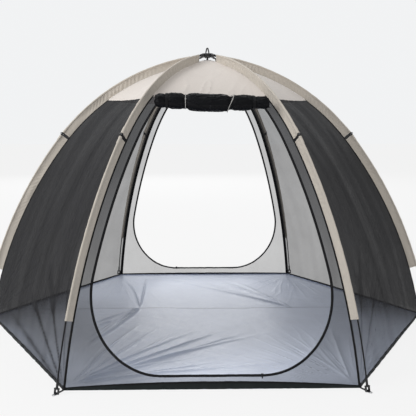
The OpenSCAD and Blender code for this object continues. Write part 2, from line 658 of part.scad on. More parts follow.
for (i = ARMS) {
    at_arm(i) upper_pole();
    at_arm(i) elbow_fork();
    at_arm(i) lower_pole();
    at_arm(i) upper_sleeve();
    at_arm(i) lower_sleeve();
    at_arm(i) corner_strap();
}
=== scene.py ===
import json
import math
import bpy
import numpy as np
from mathutils import Matrix, Vector
from mathutils.geometry import convex_hull_2d


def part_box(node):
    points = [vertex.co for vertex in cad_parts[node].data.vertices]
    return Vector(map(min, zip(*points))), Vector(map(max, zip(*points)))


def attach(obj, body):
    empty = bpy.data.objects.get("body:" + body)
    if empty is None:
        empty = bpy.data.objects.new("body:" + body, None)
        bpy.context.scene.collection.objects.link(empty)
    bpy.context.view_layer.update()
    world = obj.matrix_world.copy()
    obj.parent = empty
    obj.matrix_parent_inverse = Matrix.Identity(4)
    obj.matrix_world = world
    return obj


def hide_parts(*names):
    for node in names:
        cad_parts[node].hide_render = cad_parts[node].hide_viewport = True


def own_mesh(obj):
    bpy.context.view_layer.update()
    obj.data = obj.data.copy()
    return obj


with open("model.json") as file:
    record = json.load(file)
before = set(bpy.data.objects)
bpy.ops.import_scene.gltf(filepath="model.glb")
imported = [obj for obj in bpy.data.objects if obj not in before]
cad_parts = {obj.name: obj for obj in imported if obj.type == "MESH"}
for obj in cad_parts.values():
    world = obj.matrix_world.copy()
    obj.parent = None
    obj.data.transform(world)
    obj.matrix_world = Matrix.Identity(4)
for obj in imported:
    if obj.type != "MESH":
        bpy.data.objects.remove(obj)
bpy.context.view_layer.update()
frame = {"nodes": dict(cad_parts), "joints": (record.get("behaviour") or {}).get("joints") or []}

nodes = frame["nodes"]
joints = {j["name"]: j for j in frame["joints"]}
FOLD = "hub_hinge_1"

# ---- lines of the frame
# A point in a pole's plane is (radius, height). s is the length along the pole from the
# hub pivot, and depth is the distance inside the pole's axis.
UPPER_BEND = 1.680    # radius of the upper pole's arc
ELBOW_OFFSET = 0.011  # from the pole's axis out to the elbow's pin
SKIN = 0.0612         # middle of the CAD's canopy and walls
ROOF_EDGE, HEM = 1.785, 0.035      # heights of the canopy's edge and of the groundsheet's turned-up edge
SLEEVE_START = 0.105  # length along the pole
SLEEVE_END = 0.420    # height
ELBOW_BARE = 0.013    # bare length on each side of the elbow
SILL, TOP = 0.080, 1.755           # the doorway's heights
MARGIN = 0.070        # from the corner's seam to the doorway's side
CORNER = 0.445        # radius of the round corner that would leave the same straight sill
TALL = 0.480          # height of the doorway's oval corners
FLAT, HALF = math.cos(math.pi / 6), math.sin(math.pi / 6)


def polar(a):
    return np.array([math.cos(a), math.sin(a)])


def joint_point(name):
    x, _, z = joints[name]["pos_m"]
    return np.array([x, z])


def arc_middle(p, q, radius):
    d = q - p
    h = math.sqrt(radius ** 2 - d @ d / 4)
    return (p + q) / 2 + h * np.array([d[1], -d[0]]) / np.linalg.norm(d)


PIVOT, HINGE, FOOT = (joint_point(n) for n in (FOLD, "elbow_hinge_1", "strap_hinge_1"))
elbow = HINGE.copy()
for _ in range(30):   # the elbow's pin sits outside the pole's axis, square to it
    UPPER_C = arc_middle(PIVOT, elbow, UPPER_BEND)
    ELBOW_A = math.atan2(elbow[1] - UPPER_C[1], elbow[0] - UPPER_C[0])
    elbow = HINGE - ELBOW_OFFSET * polar(ELBOW_A)
HUB_A = math.atan2(PIVOT[1] - UPPER_C[1], PIVOT[0] - UPPER_C[0])
LOWER_BEND = (FOOT - elbow) @ (FOOT - elbow) / (2 * (FOOT - elbow) @ -polar(ELBOW_A))
LOWER_C = elbow - LOWER_BEND * polar(ELBOW_A)
FOOT_A = math.atan2(FOOT[1] - LOWER_C[1], FOOT[0] - LOWER_C[0])
UPPER_L = (HUB_A - ELBOW_A) * UPPER_BEND


def line(s, depth=SKIN):
    """Radius, height and direction angle of the line that lies depth inside a pole, at length s."""
    s = np.asarray(s, float)
    up = s <= UPPER_L
    a = np.where(up, HUB_A - s / UPPER_BEND, ELBOW_A - (s - UPPER_L) / LOWER_BEND)
    r = np.where(up, UPPER_BEND, LOWER_BEND) - depth
    c = np.where(up[..., None], UPPER_C, LOWER_C)
    return c[..., 0] + r * np.cos(a), c[..., 1] + r * np.sin(a), a


def s_at(z, depth=SKIN):
    """Length along the pole at which the line depth inside it has height z."""
    a = math.asin((z - UPPER_C[1]) / (UPPER_BEND - depth)) if z < UPPER_C[1] + UPPER_BEND - depth else HUB_A
    if a > ELBOW_A:
        return (HUB_A - a) * UPPER_BEND
    return UPPER_L + (ELBOW_A - math.asin((z - LOWER_C[1]) / (LOWER_BEND - depth))) * LOWER_BEND


def s_out(r):
    """Length along the pole at which the canopy lies at radius r."""
    return (HUB_A - math.acos((r - UPPER_C[0]) / (UPPER_BEND - SKIN))) * UPPER_BEND


CROWN_S = s_out(0.0)
ROOF_S, HEM_S, FLOOR_S = s_at(ROOF_EDGE), s_at(HEM), s_at(0.002)
FLOOR_R = float(line(FLOOR_S)[0])


def arm_azimuth(i):
    return math.radians(60 * (i - 1))


def to_world(out, across, z, azimuth):
    """Points from a local frame, out and across a direction, to the row frame."""
    c, s = math.cos(azimuth), math.sin(azimuth)
    return stack(out * c - across * s, out * s + across * c, z)


def unit(v):
    return v / np.maximum(np.linalg.norm(v, axis=-1, keepdims=True), 1e-12)


def stack(*parts):
    """Points, or UVs, from their coordinates."""
    return np.stack(np.broadcast_arrays(*parts), -1)


# ---- smooth noise
def ripple(x, y, seed, octaves, base=1.0):
    """Smooth noise in about -1..1 from warped waves. The same result every run."""
    rng = np.random.RandomState(seed)
    total, weight, amount = 0.0, 0.0, 1.0
    for k in range(octaves):
        a, p, q = rng.uniform(0, 2 * math.pi, 3)
        f = 2 * math.pi * base * 1.62 ** k
        u, w = x * math.cos(a) + y * math.sin(a), y * math.cos(a) - x * math.sin(a)
        total = total + amount * np.sin(f * u + p + 1.7 * np.sin(f * 0.41 * w + q))
        weight += amount
        amount *= 0.72
    return total / weight * 1.6


def ridge(n):
    """Sharp crests from smooth noise, 0..1."""
    return (1 - np.minimum(np.abs(n), 1)) ** 3


def ease(x, a, b):
    t = np.clip((x - a) / (b - a), 0, 1)
    return t * t * (3 - 2 * t)


# ---- meshes from grids
class Skin:
    """Collects grids of points into one mesh, with UVs in metres, its own normals and a tone per point."""

    def __init__(self):
        self.grids, self.count = [], 0

    def grid(self, points, uv, normals=None, tone=0.0, slot=0, loop=False):
        n, m = points.shape[:2]
        if normals is None:
            du = np.roll(points, -1, 1) - np.roll(points, 1, 1) if loop else np.gradient(points, axis=1)
            normals = unit(np.cross(du, np.gradient(points, axis=0)))
        ids = self.count + np.arange(n * m).reshape(n, m)
        c = np.arange(m if loop else m - 1)
        d = (c + 1) % m
        quads = stack(ids[:-1, c], ids[:-1, d], ids[1:, d], ids[1:, c]).reshape(-1, 4)
        self.grids.append((points.reshape(-1, 3), np.asarray(uv, float).reshape(-1, 2),
                           normals.reshape(-1, 3), np.broadcast_to(tone, (n, m)).reshape(-1),
                           quads, np.full(len(quads), slot, np.int32)))
        self.count += n * m

    def build(self, name, *materials):
        co, uv, no, tone, faces, slots = (np.concatenate(part) for part in zip(*self.grids))
        spot = np.unique(np.round(co, 7) + 0.0, axis=0, return_inverse=True)[1].reshape(-1)
        whole = (np.diff(np.sort(spot[faces]), axis=1) > 0).sum(1) > 1     # three corners lie apart
        faces = faces[whole]
        mesh = bpy.data.meshes.new(name)
        mesh.from_pydata(co.tolist(), [], faces.tolist())
        uv = uv[faces.ravel()].astype(np.float32)
        mesh.uv_layers.new(name="UVMap").data.foreach_set("uv", uv.ravel())
        mesh.attributes.new("tone", "FLOAT", "POINT").data.foreach_set("value", tone.astype(np.float32))
        mesh.polygons.foreach_set("material_index", slots[whole])
        mesh.polygons.foreach_set("use_smooth", np.ones(len(faces), bool))
        for m in materials:
            mesh.materials.append(m)
        mesh.update()
        mesh.normals_split_custom_set_from_vertices(no.tolist())
        return link(name, mesh)


def link(name, data):
    """A new object in the scene."""
    made = bpy.data.objects.new(name, data)
    bpy.context.scene.collection.objects.link(made)
    return made


def cloth(piece, width=None, length=None):
    """Works out the size a sheet was cut to, measured along its own weave, from its UVs and area, and hands
    the piece back unchanged.
    """
    mesh = piece.data
    area = sum(p.area for p in mesh.polygons)
    uv = np.zeros(len(mesh.loops) * 2, np.float32)
    mesh.uv_layers[0].data.foreach_get("uv", uv)
    size = np.ptp(uv.reshape(-1, 2), 0)
    w, l = float(width or size[0]), float(length or size[1])
    w = max(w, area / l)
    return piece


def place(piece, body, slot, *replaced, arm=None):
    """The piece rides a body and stands for CAD nodes, which are hidden. With an arm it gets its own copy
    of its mesh.
    """
    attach(piece, body)
    if arm:
        a = arm_azimuth(arm)
        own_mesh(piece)
    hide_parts(*replaced)


# ---- materials
def srgb(*colour):
    """The linear colour of three values from 0 to 255."""
    return tuple(c / 255 / 12.92 if c <= 10 else ((c / 255 + 0.055) / 1.055) ** 2.4 for c in colour) + (1,)


def shade(c, k):
    return tuple(min(v * k, 1) for v in c[:3]) + (1,)


def per_pitch(pitch):
    """The UV scale at which a wave texture's bands lie one pitch apart."""
    return 2 / pitch / 6.2832


class Nodes:
    """A short way to write a material's nodes."""

    def __init__(self, name, colour, rough, **sockets):
        self.colour = colour
        self.m = bpy.data.materials.new(name)
        self.m.use_nodes = True
        self.t = self.m.node_tree
        self.p = self.t.nodes["Principled BSDF"]
        self.p.inputs["Base Color"].default_value = colour
        self.p.inputs["Roughness"].default_value = rough
        for key, value in sockets.items():
            self.p.inputs[key.replace("_", " ")].default_value = value

    def add(self, kind, inputs=None, **props):
        n = self.t.nodes.new("ShaderNode" + kind)
        for k, v in props.items():
            setattr(n, k, v)
        for k, v in (inputs or {}).items():
            if isinstance(v, bpy.types.NodeSocket):
                self.t.links.new(v, n.inputs[k])
            else:
                n.inputs[k].default_value = v
        return n

    def math(self, op, a, b=0.0):
        return self.add("Math", {0: a, 1: b}, operation=op).outputs[0]

    def link(self, out, socket):
        self.t.links.new(out, self.p.inputs[socket])

    def vary(self, value, dark, light, low=0.3, high=0.7):
        """The base colour, between two shades of the material's own."""
        mixed = self.mix(self.remap(value, low, high), shade(self.colour, dark), shade(self.colour, light))
        self.link(mixed, "Base Color")

    def relief(self, *bump, **normal):
        self.link(self.bump(*bump, **normal), "Normal")

    def uv(self, u, v):
        """The piece's own UV in metres, scaled to threads or teeth."""
        source = self.add("UVMap", uv_map="UVMap").outputs[0]
        return self.add("Mapping", {"Vector": source, "Scale": (u, v, 1)}).outputs[0]

    def own(self, **mapping):
        """The piece's own coordinates, scaled or turned on request."""
        vector = self.add("TexCoord").outputs["Object"]
        return self.add("Mapping", {"Vector": vector, **mapping}).outputs[0] if mapping else vector

    def noise(self, vector, scale, detail=4.0):
        inputs = {"Vector": vector, "Scale": scale, "Detail": detail, "Roughness": 0.55}
        return self.add("TexNoise", inputs).outputs["Fac"]

    def bands(self, vector, axis, distortion=0.0):
        """Rounded threads along one axis."""
        inputs = {"Vector": vector, "Scale": 1.0, "Distortion": distortion, "Detail": 0.0}
        return self.add("TexWave", inputs, wave_type="BANDS", bands_direction=axis,
                        wave_profile="SIN").outputs["Fac"]

    def weave(self, pitch, distortion=0.0):
        """Threads that cross, one pitch apart."""
        threads = self.uv(per_pitch(pitch), per_pitch(pitch))
        return self.math("MAXIMUM", *(self.bands(threads, axis, distortion) for axis in "XY"))

    def mix(self, factor, a, b):
        return self.add("Mix", {0: factor, 6: a, 7: b}, data_type="RGBA").outputs[2]

    def remap(self, value, low, high, to_low=0.0, to_high=1.0):
        return self.add("MapRange", {"Value": value, "From Min": low, "From Max": high,
                                     "To Min": to_low, "To Max": to_high}).outputs[0]

    def attribute(self, name):
        return self.add("Attribute", attribute_name=name).outputs["Fac"]

    def bump(self, height, distance, strength, **normal):
        inputs = {"Height": height, "Distance": distance, "Strength": strength, **normal}
        return self.add("Bump", inputs).outputs[0]


def woven(name, colour, thread=0.0007, rough=0.82, sheen=0.25, spread=0.14, bump=0.00012, ripstop=0.0,
          gloss=0.35):
    """Coated plain weave: warp and weft, uneven dye, soft creases and, where its pitch is given, a ripstop
    grid. It darkens with the tone."""
    n = Nodes(name, colour, rough, Sheen_Weight=sheen, Sheen_Roughness=0.5, Specular_IOR_Level=gloss)
    weave = n.weave(thread, 0.6)
    broad, fine = n.noise(n.own(), 2.6, 5.0), n.noise(n.own(), 38.0, 3.0)
    mottle = n.math("ADD", n.math("MULTIPLY", broad, 0.7), n.math("MULTIPLY", fine, 0.3))
    base = n.mix(n.remap(mottle, 0.35, 0.65), shade(colour, 1 - spread), shade(colour, 1 + spread * 0.6))
    base = n.mix(n.math("MULTIPLY", n.math("SUBTRACT", 1.0, weave), 0.22), base, shade(colour, 0.62))
    if ripstop:
        lines = n.math("GREATER_THAN", n.weave(ripstop), 0.985)
        base = n.mix(n.math("MULTIPLY", lines, 0.25), base, shade(colour, 0.78))
        weave = n.math("ADD", weave, n.math("MULTIPLY", lines, 0.8))
    n.link(n.mix(n.attribute("tone"), base, shade(colour, 0.30)), "Base Color")
    n.link(n.remap(fine, 0.3, 0.7, rough - 0.07, min(rough + 0.08, 1)), "Roughness")
    soft = n.bump(n.noise(n.own(), 14.0), 0.004, 0.35)
    n.relief(weave, bump, 0.6, Normal=soft)
    return n.m


def netting(name, colour, cover):
    """Insect mesh: a fine net that lets light through, and less of it where the tone is high."""
    n = Nodes(name, colour, 0.85, Specular_IOR_Level=0.1)
    streak, weave = n.noise(n.own(), 5.0, 5.0), n.weave(0.0014)
    n.vary(streak, 0.8, 1.25)
    level = n.math("ADD", cover, n.math("MULTIPLY", n.attribute("tone"), 0.4))
    level = n.math("ADD", level, n.remap(streak, 0.3, 0.7, -0.02, 0.02))
    level = n.math("ADD", level, n.math("MULTIPLY", n.math("SUBTRACT", weave, 0.75), 0.12))
    n.link(n.add("Clamp", {"Value": level, "Min": 0.05, "Max": 0.97}).outputs[0], "Alpha")
    n.relief(weave, 0.0002, 0.5)
    return n.m


def webbing(name, colour, pitch=0.0016):
    """Woven tape: ribs across its length."""
    n = Nodes(name, colour, 0.75, Sheen_Weight=0.05, Specular_IOR_Level=0.2)
    ribs = n.bands(n.uv(0, per_pitch(pitch)), "Y", 0.3)
    grain = n.noise(n.own(), 90.0, 3.0)
    n.vary(grain, 0.75, 1.4)
    n.relief(ribs, 0.0003, 0.7, Normal=n.bump(grain, 0.0005, 0.4))
    return n.m


def toothed(name, colour):
    """Zip: tape on both sides of a coil of teeth. U runs across the tape and V along it."""
    n = Nodes(name, colour, 0.65, Specular_IOR_Level=0.2)
    u = n.add("SeparateXYZ", {0: n.add("UVMap", uv_map="UVMap").outputs[0]}).outputs[0]
    coil = n.math("LESS_THAN", n.math("ABSOLUTE", u), 0.0032)
    teeth = n.bands(n.uv(0, per_pitch(0.003)), "Y")
    ribs = n.bands(n.uv(per_pitch(0.0011), 0), "X")
    n.link(n.mix(coil, colour, shade(colour, 1.9)), "Base Color")
    n.link(n.math("SUBTRACT", 0.75, n.math("MULTIPLY", coil, 0.35)), "Roughness")
    height = n.math("ADD", n.math("MULTIPLY", coil, n.math("MULTIPLY", teeth, 3.0)), ribs)
    n.relief(height, 0.0004, 0.8)
    return n.m


def moulded(name, colour):
    """Injection-moulded plastic with a spark-eroded grain, an uneven tone and paler, rubbed edges."""
    n = Nodes(name, colour, 0.42, Specular_IOR_Level=0.5)
    fine, broad = n.noise(n.own(), 420.0, 2.0), n.noise(n.own(), 22.0, 5.0)
    edge = n.remap(n.add("NewGeometry").outputs["Pointiness"], 0.52, 0.62)
    base = n.mix(n.remap(broad, 0.4, 0.75), shade(colour, 0.85), shade(colour, 1.35))
    n.link(n.mix(n.math("MULTIPLY", edge, 0.5), base, shade(colour, 3.2)), "Base Color")
    n.link(n.remap(broad, 0.3, 0.7, 0.32, 0.56), "Roughness")
    n.relief(fine, 0.00012, 0.6)
    return n.m


def glass_fibre(name, colour):
    """Pultruded rod: resin gloss over faint lengthwise fibres."""
    n = Nodes(name, colour, 0.5, Specular_IOR_Level=0.25)
    fibres = n.noise(n.own(Scale=(1, 1, 0.06)), 900.0, 2.0)
    n.link(n.mix(fibres, shade(colour, 0.7), shade(colour, 1.6)), "Base Color")
    n.link(n.remap(fibres, 0.3, 0.7, 0.42, 0.6), "Roughness")
    n.relief(fibres, 0.00008, 0.5)
    return n.m


def steel(name, colour, rough):
    """Steel with fine turning marks and dull patches."""
    n = Nodes(name, colour, rough, Metallic=1.0)
    marks, dull = n.noise(n.own(Scale=(1, 1, 14)), 160.0, 3.0), n.noise(n.own(), 60.0)
    n.vary(dull, 1, 0.72, 0.35)
    n.link(n.remap(marks, 0.3, 0.7, rough - 0.08, rough + 0.16), "Roughness")
    n.relief(marks, 0.00004, 0.5)
    return n.m


def braided(name, colour):
    """Braided cord: two sets of strands that cross on the slant."""
    n = Nodes(name, colour, 0.75, Sheen_Weight=0.3)
    weave = n.math("MULTIPLY", *(n.bands(n.own(Rotation=(0, tilt, 0), Scale=(130, 130, 130)), "X", 0.8)
                                 for tilt in (0.7, -0.7)))
    n.link(n.mix(weave, shade(colour, 0.6), shade(colour, 2.2)), "Base Color")
    n.relief(weave, 0.0006, 0.9)
    return n.m


roof_cloth = woven("roof_cloth", srgb(216, 208, 201), rough=0.85, spread=0.05, ripstop=0.005)
sleeve_cloth = woven("sleeve_cloth", srgb(196, 188, 177), thread=0.0009, spread=0.07)
floor_cloth = woven("floor_cloth", srgb(212, 221, 241), rough=0.42, sheen=0.1, spread=0.05, thread=0.0011)
trim_cloth = woven("trim_cloth", srgb(30, 35, 36), spread=0.15, sheen=0.05, gloss=0.2)
roll_cloth = woven("roll_cloth", srgb(8, 9, 13), rough=0.5, sheen=0.0, gloss=0.12, spread=0.3,
                   thread=0.0013, bump=0.0003)
# Three copies of one net: the side panels' are darker and denser, painted shade for the net seen on the
# slant
front_side_net = netting("front_side_net", srgb(34, 34, 36), 0.52)
rear_side_net = netting("rear_side_net", srgb(44, 44, 46), 0.62)
door_net = netting("door_net", srgb(56, 57, 60), 0.40)
tape = webbing("tape", srgb(15, 15, 17))
strap_web = webbing("strap_web", srgb(20, 21, 24), 0.0021)
cord_light = webbing("cord_light", srgb(170, 168, 165), 0.001)
zip_band = toothed("zip_band", srgb(14, 14, 17))
plastic = moulded("plastic", srgb(20, 20, 22))
rod = glass_fibre("rod", srgb(14, 14, 16))
plated = steel("plated", (0.62, 0.63, 0.65, 1), 0.32)
black_steel = steel("black_steel", srgb(52, 52, 55), 0.4)
rope = braided("rope", srgb(15, 15, 17))


# ---- canopy and walls
ARMS = range(1, 7)
FRONT_ARMS, REAR_ARMS = (5, 6), (2, 3)
FRONT_PANEL, REAR_PANEL = 4, 1     # panel k faces azimuth 30 + 60 k
FRONT_LEFT, FRONT_RIGHT = FRONT_PANEL - 1, FRONT_PANEL + 1


def panel_azimuth(k):
    return math.radians(30 + 60 * (k % 6))


def half_width(s):
    """Half the width of a panel at length s."""
    return line(s)[0] * HALF


def cloth_lift(k, v, s):
    """How far the cloth stands out from its flat panel: the sag between the seams and the folds."""
    half = half_width(s)
    t = v * half
    across = 1 - v ** 2
    seed = 11 * (k % 6) + 5
    roof = 1 - ease(s, ROOF_S - 0.02, ROOF_S + 0.02)
    down = ease(s, CROWN_S + 0.1, ROOF_S)
    sag = -0.010 * across * np.sin(math.pi * np.clip((s - CROWN_S) / (FLOOR_S - CROWN_S), 0, 1)) ** 0.5
    sag = sag - 0.006 * across * np.exp(-((s - ROOF_S) / 0.10) ** 2)
    pulls = 0.0032 * ridge(ripple(t * 1.6 + s * 0.5, s * 0.5 - t * 0.3, seed, 4, 1.4)) * roof * down
    hang = 0.0050 * ridge(ripple(t * 3.2, s * 0.45, seed + 1, 5, 1.3)) * (1 - roof)
    low = ease(s, UPPER_L, FLOOR_S - 0.1) * (1 - ease(s, FLOOR_S - 0.12, FLOOR_S))
    corner = np.arctan2(np.abs(np.abs(v) - 1) * half, np.maximum(FLOOR_S - s, 0.02))
    fan = 0.0060 * ridge(ripple(corner * 2.6, 0 * s, seed + 2, 4, 1.2)) * low
    return sag + (pulls - hang - fan) * np.sqrt(np.maximum(across, 0))


PEAK = 0.022          # how far the canopy is drawn up to the hub


def panel_point(k, v, s, lift=0.0):
    """A point of the cloth: v runs from -1 to 1 across panel k, s down it, and lift stands off it."""
    rho, z, a = line(s)
    bend = np.hypot(np.cos(a), np.sin(a) * FLAT)
    rise = cloth_lift(k, v, s) + PEAK * (1 - ease(rho, 0.025, 0.30)) + lift
    out, up = rise * np.cos(a) / bend, rise * np.sin(a) * FLAT / bend
    return to_world(rho * FLAT + out, v * rho * HALF, z + up, panel_azimuth(k))


def surface(fn, rows, cols, eps=1e-4):
    """Points and normals of fn(row, column) over a grid."""
    r, c = np.meshgrid(np.asarray(rows, float), np.asarray(cols, float), indexing="ij")
    way = np.sign(rows[-1] - rows[0]) * np.sign(cols[-1] - cols[0])
    n = way * np.cross(fn(r, c + eps) - fn(r, c - eps), fn(r + eps, c) - fn(r - eps, c))
    length = np.linalg.norm(n, axis=-1, keepdims=True)
    n = np.where(length > 1e-14, n / np.maximum(length, 1e-14), (0, 0, 1))
    return r, c, fn(r, c), n


def door_side(z):
    """Half the doorway's width between its leaning sides."""
    s = np.array([s_at(float(x)) for x in np.ravel(z)]).reshape(np.shape(z))
    return half_width(s) - MARGIN


def touch(turn, middle):
    """A side's lean at one height, and how far out its tangent there is at the middle height."""
    lean = float(door_side(turn) - door_side(turn + 0.01)) / 0.01
    return lean, float(door_side(turn)) + lean * (turn - middle)


def sill_run():
    """Half the straight part of the sill, as the round corners leave it."""
    middle = turn = SILL + CORNER
    for _ in range(20):
        lean, out = touch(turn, middle)
        turn = middle + CORNER * lean / math.hypot(1, lean)
    return out - CORNER * math.hypot(1, lean)


def door_half(z):
    """Half the doorway's width at each height. The sides run down into upright oval corners."""
    run, middle = sill_run(), SILL + TALL
    turn = middle
    for _ in range(20):
        lean, out = touch(turn, middle)
        wide = math.sqrt((out - run) ** 2 - (lean * TALL) ** 2)
        turn = middle + lean * TALL ** 2 / (out - run)
    drop = np.clip((z - middle) / TALL, -1, 1)
    return np.where(z >= turn, door_side(z), run + wide * np.sqrt(1 - drop ** 2))


DENSE = 0.5           # below this height the rows lie closer, for the corners
DOOR_ROWS = np.concatenate([np.linspace(TOP, DENSE, 60),
                            SILL + (DENSE - SILL) * (1 - np.sin(np.linspace(0, math.pi / 2, 41)[1:]))])
TABLE_Z = np.linspace(0.02, 1.80, 900)
TABLE_W = door_half(TABLE_Z)


def door_width(z):
    return np.interp(z, TABLE_Z, TABLE_W)


# Folds of the front side panels that spring from a lower corner:
# panel, side of it, bearing off the corner's seam, strength, length
DRAWN = ((FRONT_LEFT, 1, 1.45, 0.9, 1.25), (FRONT_LEFT, 1, 1.15, 1.1, 0.90),
         (FRONT_LEFT, 1, 0.76, 1.1, 0.85), (FRONT_LEFT, 1, 0.30, 0.6, 0.70),
         (FRONT_RIGHT, -1, 0.55, 0.5, 0.90), (FRONT_RIGHT, -1, 0.95, 0.5, 0.80))


def net_density_and_shade(k, v, s):
    """How much denser the net is painted: in folds drawn from the lower corners and at random, and, as
    painted shade, higher up, towards the side arms and along the rear poles in front of the sleeves.
    """
    half, height = half_width(s), line(s)[1]
    hang = ripple(v * half * 2.2, s * 0.3, 11 * (k % 6) + 6, 3, 1.2) * (1 - v ** 6)
    if k == FRONT_PANEL:
        # painted shade: the door's side strips grow denser with height
        return 0.95 * ease(height, 0.30, 1.35) + 0.03 * hang
    if k not in (FRONT_LEFT, FRONT_RIGHT):
        # painted shade along the rear poles: the net is darker where the shaded sleeves stand behind it
        seam = (1 + v if k == (REAR_PANEL + 1) % 6 else 1 - v) * half
        rear_pole_shade = 0 if k == REAR_PANEL else 0.7 * (1 - ease(seam, 0.038, 0.046)) * ease(height, 0.40, 0.44)
        return 0.05 + 0.05 * hang + rear_pole_shade
    far = v if k == FRONT_RIGHT else -v            # towards the side arm
    # painted shade: denser with height and towards the side arm, a little less near the top
    tone = 1.08 * ease(height + 0.24 * (1 + far), 0.36, 0.57) - 0.14 * ease(height, 1.1, 1.7) + 0.07 * hang
    for panel, side, bearing, strength, length in DRAWN:
        if panel == k:
            across, up = (1 - side * v) * half, np.maximum(FLOOR_S - s, 1e-3)
            away = np.hypot(across, up)
            turn = np.arctan2(across, up) - bearing
            width = 0.008 + 0.018 * away
            ends = ease(away, 0.03, 0.15) * (1 - ease(away, 0.6 * length, 1.15 * length))
            tone = tone + strength * np.exp(-np.abs(turn * away / width) ** 1.5) * ends
    return tone


def half_panels(i):
    """The two half panels beside arm i: the panel, and its outer and inner share of the width."""
    return (((i - 1) % 6, 0.0, -1.0), ((i - 2) % 6, 1.0, 0.0))


def add_plain(skin, k, v0, v1, s0, s1, rows, cols, slot=0, lift=0.0, tone=None):
    s, v = np.linspace(s0, s1, rows), np.linspace(v0, v1, cols)
    r, c, p, n = surface(lambda s, v: panel_point(k, v, s, lift), s, v)
    skin.grid(p, stack(c * half_width(r), r), n, tone(k, c, r) if tone else 0.0, slot)


def add_beside_door(skin, k, side, levels, cols, slot):
    """The net between the corner and the doorway, at the given heights."""
    rows = np.array([s_at(float(z)) for z in levels])

    def share(s, c):
        return side * (1 + c * (door_width(line(s)[1]) / half_width(s) - 1))

    order = np.linspace(0, 1, cols) if side > 0 else np.linspace(1, 0, cols)
    r, c, p, n = surface(lambda s, c: panel_point(k, share(s, c), s), rows, order)
    v = share(r, c)
    skin.grid(p, stack(v * half_width(r), r), n, net_density_and_shade(k, v, r), slot)


def net_for(k):
    """The side panels carry darker, denser copies of the same net, as painted shade for the net seen on the
    slant.
    """
    if k in (FRONT_PANEL, REAR_PANEL):
        return door_net
    return front_side_net if k in (FRONT_LEFT, FRONT_RIGHT) else rear_side_net


CAP_R = 0.074         # the crown stays with the anchor when the poles fold
NOTCH_R = 0.037       # from here out it is notched under each pole, where the folded pole passes
CAP_S, NOTCH_S = s_out(CAP_R), s_out(NOTCH_R)
cap = Skin()
for k in range(6):
    add_plain(cap, k, -1.0, 1.0, CROWN_S + 1e-3, NOTCH_S, 8, 24)
    add_plain(cap, k, -0.6, 0.6, NOTCH_S, CAP_S + 0.004, 8, 16)
piece = cap.build("crown_cap", roof_cloth)
cloth(piece, width=2 * CAP_R, length=2 * CAP_R * FLAT)
place(piece, "root", "canopy", "roof_canopy")

WALLS = ("rear_right_wall", "rear_wall", "rear_left_wall",
         "front_left_wall", "front_wall", "front_right_wall")
split = float(line(UPPER_L)[1])     # the height at which the net folds at the elbow
for i in ARMS:
    roof = Skin()
    for k, v0, v1 in half_panels(i):
        add_plain(roof, k, v0, v1, CAP_S, ROOF_S, 60, 34)
        add_plain(roof, k, v0, v1, ROOF_S - 0.016, ROOF_S + 0.002, 3, 34, lift=0.0012)     # turned edge
    piece = roof.build(f"roof_gore_{i}", roof_cloth)
    cloth(piece)
    place(piece, f"upper_{i}", "canopy", "roof_canopy", arm=i)

    for part, s0, s1, rows in (("upper", ROOF_S, UPPER_L, 30), ("lower", UPPER_L, FLOOR_S - 0.006, 110)):
        net = Skin()
        for slot, (k, v0, v1) in enumerate(half_panels(i)):
            side = 1 if v0 > 0 else -1
            if k not in (FRONT_PANEL, REAR_PANEL):
                add_plain(net, k, v0, v1, s0, s1, rows, 70, slot, tone=net_density_and_shade)
            elif part == "upper":
                add_plain(net, k, v0, v1, s0, s_at(TOP), 4, 40, slot, tone=net_density_and_shade)
                add_beside_door(net, k, side, [z for z in DOOR_ROWS if z > split] + [split], 10, slot)
            else:
                add_beside_door(net, k, side, [split] + [z for z in DOOR_ROWS if z < split], 14, slot)
                add_plain(net, k, v0, v1, s_at(SILL), s1, 5, 40, slot, tone=net_density_and_shade)
        kinds = [net_for(k) for k, _, _ in half_panels(i)]
        piece = cloth(net.build(f"net_{part}_{i}", *kinds))
        place(piece, f"{part}_{i}", "mesh", WALLS[(i - 1) % 6], WALLS[(i - 2) % 6], arm=i)


# ---- zips
def run_along(path):
    """The length from a path's start to each of its points."""
    return np.concatenate([[0], np.cumsum(np.linalg.norm(np.diff(path, axis=0), axis=1))])


def door_path():
    """The zip's line from the doorway's top middle down and round to the sill's middle: out and up."""
    across = [(x, TOP) for x in np.linspace(0, float(door_width(TOP)), 20, endpoint=False)]
    side = [(float(door_width(z)), float(z)) for z in DOOR_ROWS[:-1]]
    sill = [(x, SILL) for x in np.linspace(side[-1][0], 0, 26)[1:]]
    return np.array(across + side + sill)


def zip_strip(k, side, part):
    """Half of a zip, as a tape with a coil, on both faces of the wall."""
    path = door_path()
    flat = stack(path[:, 0], [s_at(float(z)) for z in path[:, 1]])
    along = run_along(flat)
    steps = np.arange(0, along[-1], 0.012)
    end = (0, flat[-1, 1])
    flat = stack(*(np.interp(steps, along, way) for way in flat.T))
    flat[-1] = end
    tangent = unit(np.gradient(flat, axis=0))
    wide = np.array([-8, -7, -3.4, -2.6, 0, 2.6, 3.4, 7, 8]) / 1000
    high = np.array([0.5, 1.0, 1.1, 2.3, 2.7, 2.3, 1.1, 1.0, 0.5]) / 1000
    keep = flat[:, 1] <= UPPER_L + 0.006 if part == "upper" else flat[:, 1] >= UPPER_L - 0.006
    across = stack(tangent[:, 1], -tangent[:, 0])
    spots = flat[keep][:, None] + wide[:, None] * across[keep][:, None]
    skin = Skin()
    for face in (1, -1):
        order = slice(None, None, -face * side)
        x, s = spots[:, order, 0], spots[:, order, 1]
        p = panel_point(k, side * x / half_width(s), s, face * high[order])
        skin.grid(p, stack(wide[order], steps[keep][:, None]))
    return skin


for i, k, side in ((6, FRONT_PANEL, 1), (5, FRONT_PANEL, -1), (2, REAR_PANEL, -1), (3, REAR_PANEL, 1)):
    where = "front" if k == FRONT_PANEL else "rear"
    for part in ("upper", "lower"):
        piece = zip_strip(k, side, part).build(f"zip_{where}_{part}_{i}", zip_band)
        place(piece, f"{part}_{i}", "zip_tape", f"{where}_zip", arm=i)


